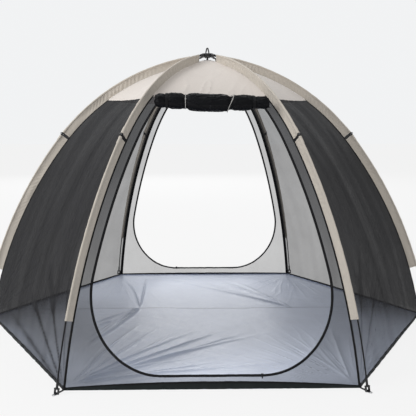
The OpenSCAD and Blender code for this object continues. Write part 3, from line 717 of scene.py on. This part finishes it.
# ---- binding tape on the corners
def seam_strip(i, face, side):
    """A strip beside arm i's seam, outside on the wall or inside over the seam, at width w and length s."""
    def fn(s, w):
        rho, z, a = line(s)
        outer, inner = 0.0016 + 0.0005 * np.sin(s * 170 + side), -0.0022 + 0.0004 * np.sin(s * 140 + 2)
        lift = outer if face > 0 else inner
        return to_world(rho - HALF * w + lift * np.cos(a), side * (FLAT * w), z + lift * np.sin(a),
                        arm_azimuth(i))
    return fn


for i in ARMS:
    # The rear arms' inside strip is wider: black painted shade over the shaded inner side of their sleeves
    inside = 0.0175 if i in REAR_ARMS else 0.0095
    for part, s0, s1, count in (("upper", ROOF_S - 0.012, UPPER_L, 26), ("lower", UPPER_L, FLOOR_S, 60)):
        binding = Skin()
        for face, widths in ((1, (0.0012, 0.004, 0.0080)), (-1, (0.0, 0.007, inside))):
            for side in (1, -1):
                rows, cols = np.linspace(s0, s1, count), widths[::-face * side]
                r, c, p, n = surface(seam_strip(i, face, side), rows, cols)
                binding.grid(p, stack(c, r), n)
        place(binding.build(f"binding_{part}_{i}", tape), f"{part}_{i}", "webbing", "corner_bindings")


# ---- sleeves
WEB = np.array([-0.0600, -0.0585, -0.052, -0.044, -0.036, -0.028, -0.020, -0.0135])    # seam to pocket
AROUND = np.radians(np.linspace(-158, 158, 17))
POCKET = np.repeat((False, True, False), (len(WEB), len(AROUND), len(WEB)))
ANGLE = np.concatenate([0 * WEB, AROUND, 0 * WEB])
DOWN = np.concatenate([WEB, 0 * AROUND, WEB[::-1]])
FOLD_PITCH = 0.036


def sleeve(i, part):
    """A fin of cloth on edge: a pocket round the pole, and a web in slanting folds down to the seam."""
    if part == "upper":
        s0, s1, seed, way, deepest = SLEEVE_START, UPPER_L - ELBOW_BARE, 70 + 2 * i, 1, 0.0030
    else:
        s0, s1, seed, way, deepest = UPPER_L + ELBOW_BARE, s_at(SLEEVE_END, 0.0), 71 + 2 * i, -1, 0.0013

    def points(s):
        """From one side's seam, round the pole, to the other side's."""
        near = ease(np.abs(s - UPPER_L), 0.075, 0.060)
        pocket = 0.0074 + 0.0028 * near + 0.0006 * ripple(s * 9, 0 * s, seed, 3)
        x = np.where(POCKET, pocket * np.cos(ANGLE), DOWN)
        depth = np.clip((-x - 0.010) / 0.048, 0, 1)
        thick = 0.0008 + 0.0022 * np.exp(-((x + 0.012) / 0.004) ** 2)
        slant = s + (0.8 + 0.5 * ripple(s * 0.9, 0 * s, seed + 3, 2)) * x * way
        strength = deepest * np.clip(0.7 + 0.6 * ripple(s * 1.2, 0 * s, seed + 33, 2), 0.15, 1)
        wave = 2 * math.pi * slant / FOLD_PITCH + 2.4 * ripple(s * 2.2, x * 4, seed + 31, 3, 1.0)
        fold = strength * np.sin(math.pi * depth) ** 0.7 * np.sin(wave)
        lean = 0.0030 * ripple(s * 1.3, 0 * s, seed + 9, 3, 1.4) * np.sin(math.pi * depth)
        side = np.where(np.arange(len(DOWN)) < len(DOWN) // 2, -1.0, 1.0)
        y = np.where(POCKET, pocket * np.sin(ANGLE), side * thick + fold + lean)
        rho, z, a = line(s, 0)
        return to_world(rho + x * np.cos(a), y, z + x * np.sin(a), arm_azimuth(i))

    skin = Skin()
    hems = (s0 + 0.012 * np.array([0, 0.5, 1]), s1 - 0.012 * np.array([1, 0.5, 0]))
    for at, proud in ((np.linspace(s0, s1, 230), 0.0), (hems[0], 0.0009), (hems[1], 0.0009)):
        p = points(at[:, None])[:, ::-1]
        normal = unit(np.cross(np.gradient(p, axis=1), np.gradient(p, axis=0)))
        skin.grid(p + normal * proud, stack(0.150 * np.linspace(1, 0, len(DOWN)), at[:, None]), normal)
    return skin


for i in ARMS:
    for part in ("upper", "lower"):
        piece = sleeve(i, part).build(f"sleeve_{part}_{i}", sleeve_cloth)
        cloth(piece, width=0.152)
        place(piece, f"{part}_{i}", "sleeve", f"{part}_sleeve_{i}")


# ---- groundsheet and its turned-up edge
CORNERS = [FLOOR_R * polar(arm_azimuth(i)) for i in ARMS]
FLOOR_SEAM = 0.22     # the seam runs across at this distance behind the middle
SEAM_WIDE = np.array([-0.0045, -0.004, -0.0012, 0.0012, 0.004, 0.0045])
SEAM_HIGH = np.array([0.0002, 0.0009, 0.0012, 0.0012, 0.0009, 0.0002])
SEAM_TONE = np.array([0.2, 0.5, 0.8, 0.8, 0.5, 0.2])
# Fans of creases: where they spring from, the first and last end, how many, height and half width
FANS = (((-0.58, 0.20), (-1.00, -0.30), (-0.90, -0.95), 6, 0.0130, 0.018),
        ((-0.86, -1.46), (-0.52, -0.20), (0.55, -0.40), 7, 0.0090, 0.015),
        ((-0.86, -1.46), (-0.10, -1.00), (0.60, -1.10), 4, 0.0060, 0.014),
        ((0.74, 0.20), (0.25, 1.30), (-0.66, 1.55), 5, 0.0080, 0.024),
        ((-0.58, 0.22), (-0.83, 1.36), (-0.62, 1.50), 2, 0.0110, 0.012),
        ((0.86, -1.46), (0.55, -0.70), (0.98, -0.20), 3, 0.0050, 0.018))


def creases(x, y):
    """Sharp folds in the laid sheet, each a crest along a slightly bowed line."""
    h = 0.0 * x
    for n, (root, first, last, count, high, wide) in enumerate(FANS):
        for k in range(count):
            share = k / max(count - 1, 1)
            along = (1 - share) * np.array(first) + share * np.array(last) - root
            length = np.linalg.norm(along)
            along = along / length
            t = (x - root[0]) * along[0] + (y - root[1]) * along[1]
            reach = np.clip(t / length, 0, 1)
            bow = 0.035 * math.sin(2.1 * k + n) * np.sin(math.pi * reach)
            d = (y - root[1]) * along[0] - (x - root[0]) * along[1] - bow
            spread = wide * (0.5 + 0.9 * reach)
            fade = ease(t, 0.0, 0.12 * length) * (1 - ease(t, 0.55 * length, length))
            crest = np.exp(-np.abs(d / spread) ** 1.4)
            h = h + 1.5 * high * (0.75 + 0.25 * math.sin(5 * k + n)) * fade * crest
    return h


def floor_height(x, y):
    """Creases drawn towards the corners, over broad billows."""
    sides = [x * math.cos(a) + y * math.sin(a) for a in map(panel_azimuth, range(6))]
    edge = 1 - ease(np.max(sides, axis=0) / (FLOOR_R * FLAT), 0.94, 1.0)
    h = 0.0035 * (ripple(x * 0.6, y * 0.6, 3, 5, 1.0) + 1) * edge
    for n, corner in enumerate(CORNERS):
        dx, dy = x - corner[0], y - corner[1]
        away = np.hypot(dx, dy)
        bearing = np.arctan2(dx * corner[1] - dy * corner[0], -(dx * corner[0] + dy * corner[1]))
        crest = ridge(ripple(bearing * 1.5, away * 0.22, 40 + n, 5, 1.4))
        h = h + 0.0090 * crest * np.exp(-away / 0.55) * ease(away, 0.15, 0.6)
    return 0.0016 + np.maximum(h, 0) + creases(x, y) * edge


def laid(x, y, lift=0.0):
    """Points of the laid sheet."""
    return stack(x, y, floor_height(x, y) + lift)


def seam_reach(i):
    """From where to where the seam runs across arm i's share of the sheet."""
    a = arm_azimuth(i)
    if math.sin(a) < -0.1:
        return []
    side = math.copysign(FLOOR_R - FLOOR_SEAM * HALF / FLAT, math.cos(a))
    return sorted(FLOOR_SEAM / math.sin(b) * math.cos(b) if math.sin(b) > 0 else side
                  for b in (a - math.pi / 6, a + math.pi / 6))


# The turned-up edge: how far the layer stands out, the shares of the edge's height it runs from
# and to, and its slot
HEM_LAYERS = ((0.0016, 1.0, 0.0, 0), (-0.0020, 0.0, 1.0, 1),
              (0.0026, 1.14, 0.86, 2), (-0.0032, 0.42, 1.14, 2))


def hem_layer(k, lift, low, high):
    """A band of the turned-up edge, which stands higher in the middle of a side than at the corners."""
    ends, bow = (0.42, 0.78) if k == FRONT_PANEL else (0.40, 0.20)

    def fn(c, v):
        tall = (FLOOR_S - HEM_S) * (ends + bow * (1 - np.abs(v) ** 2.2))
        return panel_point(k, v, FLOOR_S - tall * (low + (high - low) * c), lift)
    return fn


for i in ARMS:
    corner = CORNERS[i - 1]
    ground = Skin()
    for turn in (1, -1):
        middle = FLOOR_R * FLAT * polar(arm_azimuth(i) + turn * math.pi / 6)

        def wedge(r, c):
            return laid(*(r * ((1 - c) * m + c * e) for m, e in zip(middle, corner)))

        r, c, p, n = surface(wedge, np.linspace(0.001, 1, 150), np.linspace(0, 1, 84)[::turn], 5e-4)
        ground.grid(p, p[..., :2], n)
    reach = seam_reach(i)
    if reach:     # flat-felled seam across the sheet
        x, w = np.meshgrid(np.linspace(reach[0] + 0.002, reach[1] - 0.002, 60), SEAM_WIDE, indexing="ij")
        seam = laid(x, FLOOR_SEAM + w, SEAM_HIGH)[:, ::-1]
        ground.grid(seam, seam[..., :2], tone=SEAM_TONE)
    piece = cloth(ground.build(f"groundsheet_{i}", floor_cloth))
    place(piece, f"strap_{i}", "groundsheet", "groundsheet", arm=i)

    hem = Skin()
    for k, v0, v1 in half_panels(i):
        facing = to_world(1.0, 0.0, 0.0, panel_azimuth(k))
        for lift, low, high, slot in HEM_LAYERS:
            rows, cols = np.linspace(0, 1, 5), np.linspace(v0, v1, 40)
            r, c, p, n = surface(hem_layer(k, lift, low, high), rows, cols)
            p[..., 2] = np.maximum(p[..., 2], 0.0006)
            if (np.sign(n @ facing) * np.sign(lift)).mean() < 0:
                p, n, c, r = p[:, ::-1], -n[:, ::-1], c[:, ::-1], r[:, ::-1]
            hem.grid(p, stack(c * FLOOR_R * HALF, r * HEM), n, slot=slot)
    piece = cloth(hem.build(f"hem_{i}", trim_cloth, floor_cloth, tape))
    place(piece, f"strap_{i}", "groundsheet", "groundsheet_edge", arm=i)


# ---- tubes and ribbons
def resample(path, step):
    """The same path with evenly spaced points."""
    path = np.asarray(path, float)
    along = run_along(path)
    count = max(int(along[-1] / step), 3)
    at = np.linspace(0, along[-1], count + 1)
    return stack(*(np.interp(at, along, way) for way in path.T)), at


def rounded(path, radius):
    """A polyline with its corners rounded off."""
    path = [np.asarray(p, float) for p in path]
    out = [path[0]]
    for before, corner, after in zip(path, path[1:], path[2:]):
        a, b = corner - before, after - corner
        cut = min(radius, np.linalg.norm(a) * 0.45, np.linalg.norm(b) * 0.45)
        p, q = corner - unit(a) * cut, corner + unit(b) * cut
        for t in np.linspace(0, 1, 6):
            out.append((1 - t) ** 2 * p + 2 * t * (1 - t) * corner + t * t * q)
    return np.array(out + [path[-1]])


def ribbon(skin, path, across, wide, thick):
    """Sweeps a flat tape with soft edges along a path of world points; across is its wide direction."""
    path, at = resample(path, 0.003)
    tangent = unit(np.gradient(path, axis=0))
    across = unit(np.asarray(across, float) - (tangent @ across)[:, None] * tangent)
    up = np.cross(tangent, across)
    u = np.array([-1, -0.94, -0.5, 0, 0.5, 0.94, 1, 0.94, 0.5, 0, -0.5, -0.94]) * wide / 2
    v = np.array([0, 0.8, 1, 1, 1, 0.8, 0, -0.8, -1, -1, -1, -0.8]) * thick / 2
    points = path[:, None] + u[:, None] * across[:, None] + v[:, None] * up[:, None]
    first, last = (p.mean(1, keepdims=True).repeat(len(u), 1) for p in (points[:1], points[-1:]))
    uv = stack(u, np.concatenate([at[:1], at, at[-1:]])[:, None])
    skin.grid(np.concatenate([first, points, last])[:, ::-1], uv[:, ::-1], loop=True)


def tube(skin, path, radius, step, segments, plait=0.0, pitch=1.0):
    """Sweeps a round cord along a path. Its strands stand out by plait and turn once in every pitch."""
    path, at = resample(path, step)
    if path.shape[1] == 4:       # the fourth number is the cord's own radius there
        path, radius = path[:, :3], path[:, 3:]
    tangent = unit(np.gradient(path, axis=0))
    side = unit(np.cross(tangent[0], (0.31, 0.2, 0.93)))
    sides = []
    for t in tangent:
        side = unit(side - (side @ t) * t)
        sides.append(side)
    sides = np.array(sides)
    other = np.cross(tangent, sides)
    turn = np.linspace(0, 2 * math.pi, segments, endpoint=False)
    strand, twist = segments / 4 * turn, 2 * math.pi / pitch * at[:, None]
    r = radius * (1 + plait * np.sin(strand + twist) * np.sin(strand - twist))
    ring = np.cos(turn)[:, None] * sides[:, None] + np.sin(turn)[:, None] * other[:, None]
    skin.grid(path[:, None] + r[..., None] * ring, stack(turn * radius, at[:, None]), loop=True)


def overhand(middle, size, upright, out):
    """The path of an overhand knot: three crossing turns round a point."""
    t = np.linspace(0, 2 * math.pi, 90)
    x, y, z = np.sin(t) + 2 * np.sin(2 * t), np.cos(t) - 2 * np.cos(2 * t), -np.sin(3 * t)
    upright, out = unit(np.asarray(upright, float)), unit(np.asarray(out, float))
    side = np.cross(upright, out)
    return np.asarray(middle) + size / 3 * (x[:, None] * side + y[:, None] * upright + z[:, None] * out)


# ---- rolled-up doors and their ties
SKIN_FACE = 0.0604                # outer face of the walls, as a depth
ROLL_GAP = 0.009                  # between the wall and a roll
DOOR_LENGTH = TOP - SILL
FREE_EDGE = math.radians(-38)     # where the door's loose edge lies on the roll
CORE = 0.006                      # radius of the hollow in the middle
SEAM_DEPTH = 0.0598               # the ties leave the wall here, just above the canopy's edge
SEAM_S = s_at(ROOF_EDGE + 0.006, SEAM_DEPTH)


class Roll:
    """A door rolled up as a spiral under the canopy's edge, squeezed where it is tied."""

    def __init__(self, panel, node, d, ends, ties, tilt, seed):
        low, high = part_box(node)
        self.panel, self.node, self.d, self.ends = panel, node, d, ends
        self.ties, self.tilt, self.seed = ties, tilt, seed
        reach = UPPER_BEND - SKIN_FACE + d / 2 + ROLL_GAP
        self.a = math.asin(((low.z + high.z) / 2 - UPPER_C[1]) / reach)
        rho, self.z = UPPER_C + reach * polar(self.a)
        self.out = rho * FLAT

    def middle(self, x):
        """The roll's middle line hangs along the slope of the canopy: out and up."""
        rise = self.tilt * (ease(-x, -0.02, 0.30) * 0.024 + ease(x, 0.15, 0.35) * 0.003 - 0.009)
        return self.out - rise * math.sin(self.a) * FLAT, self.z + rise * math.cos(self.a)

    def radius(self, x):
        r = 1.06 - 0.09 * ease(np.abs(x), 0.12, 0.20)
        r = r - 0.13 * ease(-x, 0.25, 0.34) - 0.22 * ease(x, 0.24, 0.35)
        for tie in self.ties:
            off = np.abs(x - tie["x"])
            r = r - tie["squeeze"] * (np.exp(-(off / 0.019) ** 3) + 0.5 * np.exp(-(off / 0.05) ** 2))
        end = np.where(x < 0, x - self.ends[0], self.ends[1] - x)
        return self.d / 2 * (r - 0.16 * (1 - ease(end, -0.004, 0.022)))

    def folds(self, turn, x):
        """Lengthwise wrinkles, and pleats that run out from each tie."""
        c, s = np.cos(turn), np.sin(turn)
        broad = ripple(0.42 * c + 1.3 * x, 0.42 * s - 0.9 * x, self.seed, 4, 1.0)
        sharp = ridge(ripple(0.75 * c + 2.6 * x, 0.75 * s + 1.9 * x, self.seed + 1, 5, 1.0))
        pleat = 0.0
        for tie in self.ties:
            off = x - tie["x"]
            wave = turn * 9 + 2.5 * np.sin(turn * 2 + 9 * tie["x"]) + 30 * off
            pleat = pleat + np.exp(-(off / 0.045) ** 2) * np.sin(wave)
        gather = ease(np.abs(x), 0.27, 0.34) * np.sin(turn * 7 + 3 * np.sin(turn * 3 + 40 * x) + 55 * x)
        return 1 + 0.045 * broad + 0.060 * sharp + 0.034 * pleat + 0.050 * gather

    def spiral(self, c):
        """Turn, and share of the full radius, at a share c of the door's length from its loose edge."""
        full = self.d / 2
        share = np.sqrt(1 - c * (1 - (CORE / full) ** 2))
        turns = DOOR_LENGTH * (1 - share) * full / (full ** 2 - CORE ** 2) * 2
        return FREE_EDGE + turns, share

    def point(self, c, x):
        turn, share = self.spiral(c)
        lap = 0.0022 * (1 - ease(c, 0.0, 0.012))
        r = self.radius(x) * self.folds(turn, x) * share - lap
        out, z = self.middle(x)
        return to_world(out + r * np.cos(turn), x, z + r * np.sin(turn), panel_azimuth(self.panel))

    def outline(self, tie):
        """Out, across and up of the roll's surface under a tie."""
        turn = np.radians(np.arange(0, 360, 5))
        along = tie["x"] + tie["slant"] * np.sin(turn)
        near = [along + e for e in (-tie["wide"] / 2, 0, tie["wide"] / 2)]
        r = np.max([self.radius(x) * self.folds(turn, x) for x in near], 0) + tie["thick"] / 2 + 0.0003
        out, z = self.middle(along)
        return stack(out + r * np.cos(turn), along, z + r * np.sin(turn))

    def tie_path(self, tie):
        """Tight round the roll and back to the seam it hangs from."""
        rho, z, _ = line(SEAM_S, SEAM_DEPTH)
        spots = np.vstack([self.outline(tie), (rho * FLAT + 0.001, tie["x"] + tie["slant"] * 0.5, z)])
        hull = convex_hull_2d([(p[0], p[2]) for p in spots])
        start = hull.index(len(spots) - 1)
        return to_world(*spots[hull[start:] + hull[:start + 1]].T, panel_azimuth(self.panel))


BAND = dict(wide=0.018, thick=0.0016, squeeze=0.10, slant=0.0, cord=False)
CORD = dict(wide=0.0048, thick=0.0030, squeeze=0.17, slant=0.0, cord=True)


def ties_at(outer_left, left, right, outer_right, slant):
    """Two bands near the ends and two thin cords between them."""
    return (dict(BAND, x=outer_left), dict(CORD, x=left), dict(CORD, x=right, squeeze=0.16, slant=slant),
            dict(BAND, x=outer_right))


ROLLS = (
    Roll(FRONT_PANEL, "front_door_roll", 0.118, (-0.366, 0.398),
         ties_at(-0.292, -0.165, 0.141, 0.300, 0.024), 1.0, 501),
    Roll(REAR_PANEL, "rear_door_roll", 0.090, (-0.386, 0.388),
         ties_at(-0.300, -0.172, 0.168, 0.298, -0.010), 0.3, 541),
)
OUTER_TURN = 7.9                  # the rows lie close as far as this, and wider where they are hidden
EDGE_SHARE = 0.011                # the zip's tape on the loose edge, as a share of the length
shares = np.linspace(0, 1, 4000)
for roll in ROLLS:
    where, az = roll.node.split("_")[0], panel_azimuth(roll.panel)
    turns = roll.spiral(shares)[0]
    hidden, last = turns[0] + OUTER_TURN, turns[-1]
    wanted = np.concatenate([np.arange(turns[0], hidden, 0.10), np.arange(hidden, last, 0.33), [last]])
    rows = np.interp(wanted, turns, shares)
    edge = int(np.searchsorted(rows, EDGE_SHARE))
    for side, arm, end in zip((-1, 1), FRONT_ARMS if roll.panel == FRONT_PANEL else REAR_ARMS, roll.ends):
        def half(c, t):
            ragged = 1 + 0.028 * ripple(c * 5 + end, 0 * c, roll.seed + 7, 4, 1.0) * t ** 6
            return roll.point(c, end * t * ragged)

        skin = Skin()
        for part, slot in ((rows[:edge + 1], 1), (rows[edge:], 0)):
            r, t, p, n = surface(half, part, np.linspace(0, 1, 90)[::side], 2e-4)
            skin.grid(p, stack(end * t, r * DOOR_LENGTH), n, slot=slot)
        piece = skin.build(f"{where}_roll_{arm}", roll_cloth, zip_band)
        cloth(piece)
        place(piece, f"upper_{arm}", "door_fabric", roll.node, arm=arm)
        for n, tie in enumerate(t for t in roll.ties if t["x"] * side > 0):
            path = roll.tie_path(tie)
            band = Skin()
            ribbon(band, path, (-math.sin(az), math.cos(az), 0), tie["wide"], tie["thick"])
            if tie["cord"]:      # knotted on the outside, near the top
                far = np.abs(path[:, 2] - roll.z - 0.35 * roll.d) - 5 * np.hypot(path[:, 0], path[:, 1])
                out = np.array([math.cos(az), math.sin(az), 0.4])
                knot = overhand(path[np.argmin(far)] + unit(out) * 0.0025, 0.0052, (0, 0, 1), out)
                tube(band, knot, 0.0015, 0.0012, 8)
            piece = band.build(f"{where}_tie_{arm}_{n + 1}", cord_light if tie["cord"] else tape)
            place(piece, f"upper_{arm}", "webbing", f"{where}_ties", arm=arm)


# ---- corner straps with their ring plates
foot, bar = (float(v) for v in FOOT)      # where the pole's bar lies: out and up
STRAP_WIDE, STRAP_THICK = 0.0168, 0.0017
FLOOR_EDGE = FLOOR_R + 0.0026
LEAN = math.tan(FOOT_A)      # slope of the pole, and of the patch that follows the wall
PLATE_Z = 0.00395


def plate_mesh(name, i):
    """Stamped steel plate with a slot for the webbing and a round hole for the peg, its edges rounded."""
    data = bpy.data.curves.new(name, "CURVE")
    data.dimensions, data.fill_mode = "2D", "BOTH"
    data.extrude, data.bevel_depth, data.bevel_resolution = 0.0011, 0.0004, 2
    ear = [(9.0, 8.8), (11.0, 12.8), (15.8, 12.8)]
    nose = [(25.8 + 10 * math.cos(t), 10 * math.sin(t)) for t in np.linspace(1.32, -1.32, 33)]
    outline = ear + nose + [(x, -y) for x, y in reversed(ear)]
    slot = [(13.0, 8.8), (15.8, 8.8), (15.8, -8.8), (13.0, -8.8)]
    around = np.linspace(0, 2 * math.pi, 40, endpoint=False)
    hole = [(25.8 + 6 * math.cos(t), 6 * math.sin(t)) for t in around]
    for points, inset in ((outline, -1), (slot, 1), (hole, 1)):
        p = np.array(points) / 1000
        after = np.roll(p, -1, 0)
        along = unit(after - np.roll(p, 1, 0))
        sign = np.sign(np.sum(p[:, 0] * after[:, 1] - after[:, 0] * p[:, 1]))
        p = p + inset * sign * data.bevel_depth * stack(along[:, 1], -along[:, 0])
        spline = data.splines.new("POLY")
        spline.points.add(len(p) - 1)
        for spot, (x, y) in zip(spline.points, p):
            spot.co = (foot + x, y, 0, 1)
        spline.use_cyclic_u = True
    shape = bpy.data.objects.new(name + "_outline", data)
    mesh = bpy.data.meshes.new_from_object(shape)
    mesh.name = name
    bpy.data.objects.remove(shape)
    mesh.transform(Matrix.Rotation(arm_azimuth(i), 4, "Z") @ Matrix.Translation((0, 0, PLATE_Z)))
    mesh.materials.clear()
    mesh.materials.append(plated)
    return link(name, mesh)


for i in ARMS:
    a, sag = arm_azimuth(i), 0.0003 * math.sin(i * 2.3)
    profile = rounded([(FLOOR_EDGE - 0.0275 * LEAN, 0.0325), (FLOOR_EDGE + 0.0002, 0.0050),
                       (FLOOR_EDGE + 0.012, 0.0046 + sag), (foot - 0.006, 0.0042), (foot + 0.001, 0.0036),
                       (foot + 0.007, 0.0015), (foot + 0.0144, 0.0014), (foot + 0.0144, 0.0072),
                       (foot + 0.0078, 0.0074), (foot + 0.0040, bar + 0.0034),
                       (foot - 0.0006, bar + 0.0044), (foot - 0.0055, bar + 0.0020),
                       (foot - 0.0100, 0.0066), (foot - 0.034, 0.0064 + sag)], 0.0028)
    web = Skin()
    path = to_world(profile[:, 0], 0, profile[:, 1], a)
    ribbon(web, path, (-math.sin(a), math.cos(a), 0), STRAP_WIDE, STRAP_THICK)
    place(web.build(f"corner_webbing_{i}", strap_web), f"strap_{i}", "webbing", f"corner_strap_{i}")
    place(plate_mesh(f"ring_plate_{i}", i), f"strap_{i}", "steel", f"corner_strap_{i}")


# ---- pull loop
ROPE, HOLE = 0.00275, 0.014       # the rope's radius, and how far out its holes in the hub lie
PLAIT = (0.07, 0.011)             # how far the strands stand out, and the length of one turn
under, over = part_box("hub_base")[0].z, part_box("hub_cap")[1].z
bend = 2 * ROPE
crown_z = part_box("pull_loop")[1].z - ROPE - bend
span = np.array([HOLE, over - crown_z])
turn = math.atan2(span[1], span[0]) + math.acos(bend / np.hypot(*span))
arch = [(bend * math.cos(t), crown_z + bend * math.sin(t)) for t in np.linspace(turn, math.pi - turn, 14)]
leg = rounded([(HOLE, under - 0.003), (HOLE, over), arch[0]], 0.012)
profile = np.concatenate([leg, arch[1:-1], leg[::-1] * (-1, 1)])
thick = ROPE * (1 + 0.8 * ease(profile[:, 1], over + 0.001, over + 0.012))
loop = Skin()
tube(loop, stack(profile[:, 0], 0, profile[:, 1], thick), ROPE, 0.0008, 24, *PLAIT)
for side in (1, -1):
    knot = overhand((side * HOLE, 0, under - 0.0050), 0.0031, (0, 0, 1), (0, 1, 0))
    tube(loop, knot, 0.0019, 0.0008, 16, *PLAIT)
place(loop.build("pull_rope", rope), "root", "rope", "pull_loop")


# ---- finishes of the CAD nodes that stay
def finish(node, *materials, pick=None):
    """Gives a node its materials; pick(out, across, z) says which one a face takes, by its middle."""
    mesh = nodes[node].data
    mesh.materials.clear()
    for m in materials:
        mesh.materials.append(m)
    index = np.zeros(len(mesh.polygons), np.int32)
    if pick is not None:
        middle = np.zeros(len(mesh.polygons) * 3, np.float32)
        mesh.polygons.foreach_get("center", middle)
        x, y, z = middle.reshape(-1, 3).astype(float).T
        a = arm_azimuth(int(node[-1]))
        out, across = x * math.cos(a) + y * math.sin(a), y * math.cos(a) - x * math.sin(a)
        index = pick(out, across, z).astype(np.int32)
    mesh.polygons.foreach_set("material_index", index)
    mesh.update()


def is_rod(out, across, z):
    """Within the rod's radius of the pole's middle line."""
    p = stack(out, z)
    up = np.hypot(*(p - UPPER_C).T) - UPPER_BEND
    low = np.hypot(*(p - LOWER_C).T) - LOWER_BEND
    return np.hypot(across, np.where(z > elbow[1], up, low)) < 0.00486


def is_rivet(out, across, z):
    """The rivet's heads, at both ends of the elbow's pin."""
    away = np.abs(across)
    return (np.hypot(out - HINGE[0], z - HINGE[1]) < 0.0044) & (away > away.max() - 0.0018)


for name in ("hub_base", "hub_cap", "canopy_anchor"):
    finish(name, plastic)
for name in ("hub_pins", "hub_screws"):
    finish(name, plated)
for name in ("front_slider", "rear_slider"):
    finish(name, black_steel)
for i in ARMS:
    finish(f"upper_pole_{i}", plastic, rod, pick=is_rod)
    finish(f"lower_pole_{i}", plastic, rod, pick=is_rod)
    finish(f"elbow_{i}", plastic, plated, pick=is_rivet)


# ---- camera, floor and light
def look(name, at, to, energy, size):
    """An area lamp at one place, turned to another."""
    data = bpy.data.lights.new(name, "AREA")
    data.energy, data.size = energy, size
    lamp = link(name, data)
    lamp.location = at
    lamp.rotation_euler = (Vector(to) - Vector(at)).to_track_quat("-Z", "Y").to_euler()


PITCH, YAW = math.radians(7.0), math.radians(-1.217)
camera = link("camera", bpy.data.cameras.new("camera"))
camera.data.sensor_width, camera.data.lens = 36, 56.25
camera.location = (-0.1074, -5.302, 1.563)
forward = Vector((-math.sin(YAW) * math.cos(PITCH), math.cos(YAW) * math.cos(PITCH), -math.sin(PITCH)))
camera.rotation_euler = forward.to_track_quat("-Z", "Y").to_euler()
bpy.context.scene.camera = camera

bpy.ops.mesh.primitive_plane_add(size=120, location=(0, 0, -0.0005))
ground = bpy.context.active_object
ground.name = "ground"
# Lit paper, which carries only a faint shadow
paper = Nodes("paper", (0.10, 0.10, 0.10, 1), 0.9, Specular_IOR_Level=0.0,
              Emission_Color=(1, 1, 1, 1), Emission_Strength=0.83)
ground.data.materials.append(paper.m)

world = bpy.data.worlds.new("studio")
bpy.context.scene.world = world
world.use_nodes = True
sky = world.node_tree
background = sky.nodes["Background"]
background.inputs["Color"].default_value = (0.98, 0.99, 1, 1)
seen = sky.nodes.new("ShaderNodeLightPath")
level = sky.nodes.new("ShaderNodeMapRange")      # the wall looks brighter than it lights
level.inputs["To Min"].default_value, level.inputs["To Max"].default_value = 0.58, 0.90
sky.links.new(seen.outputs["Is Camera Ray"], level.inputs["Value"])
sky.links.new(level.outputs["Result"], background.inputs["Strength"])
look("key", (-6.0, -3.0, 5.6), (0, 0, 0.6), 300, 4.0)
look("top", (-0.5, 0.5, 7.0), (0, 0, 0.2), 60, 6.0)
look("back", (-1.6, 14.0, 7.2), (0, -0.3, 0.0), 760, 9.0)
bpy.context.scene.view_settings.view_transform = "Standard"
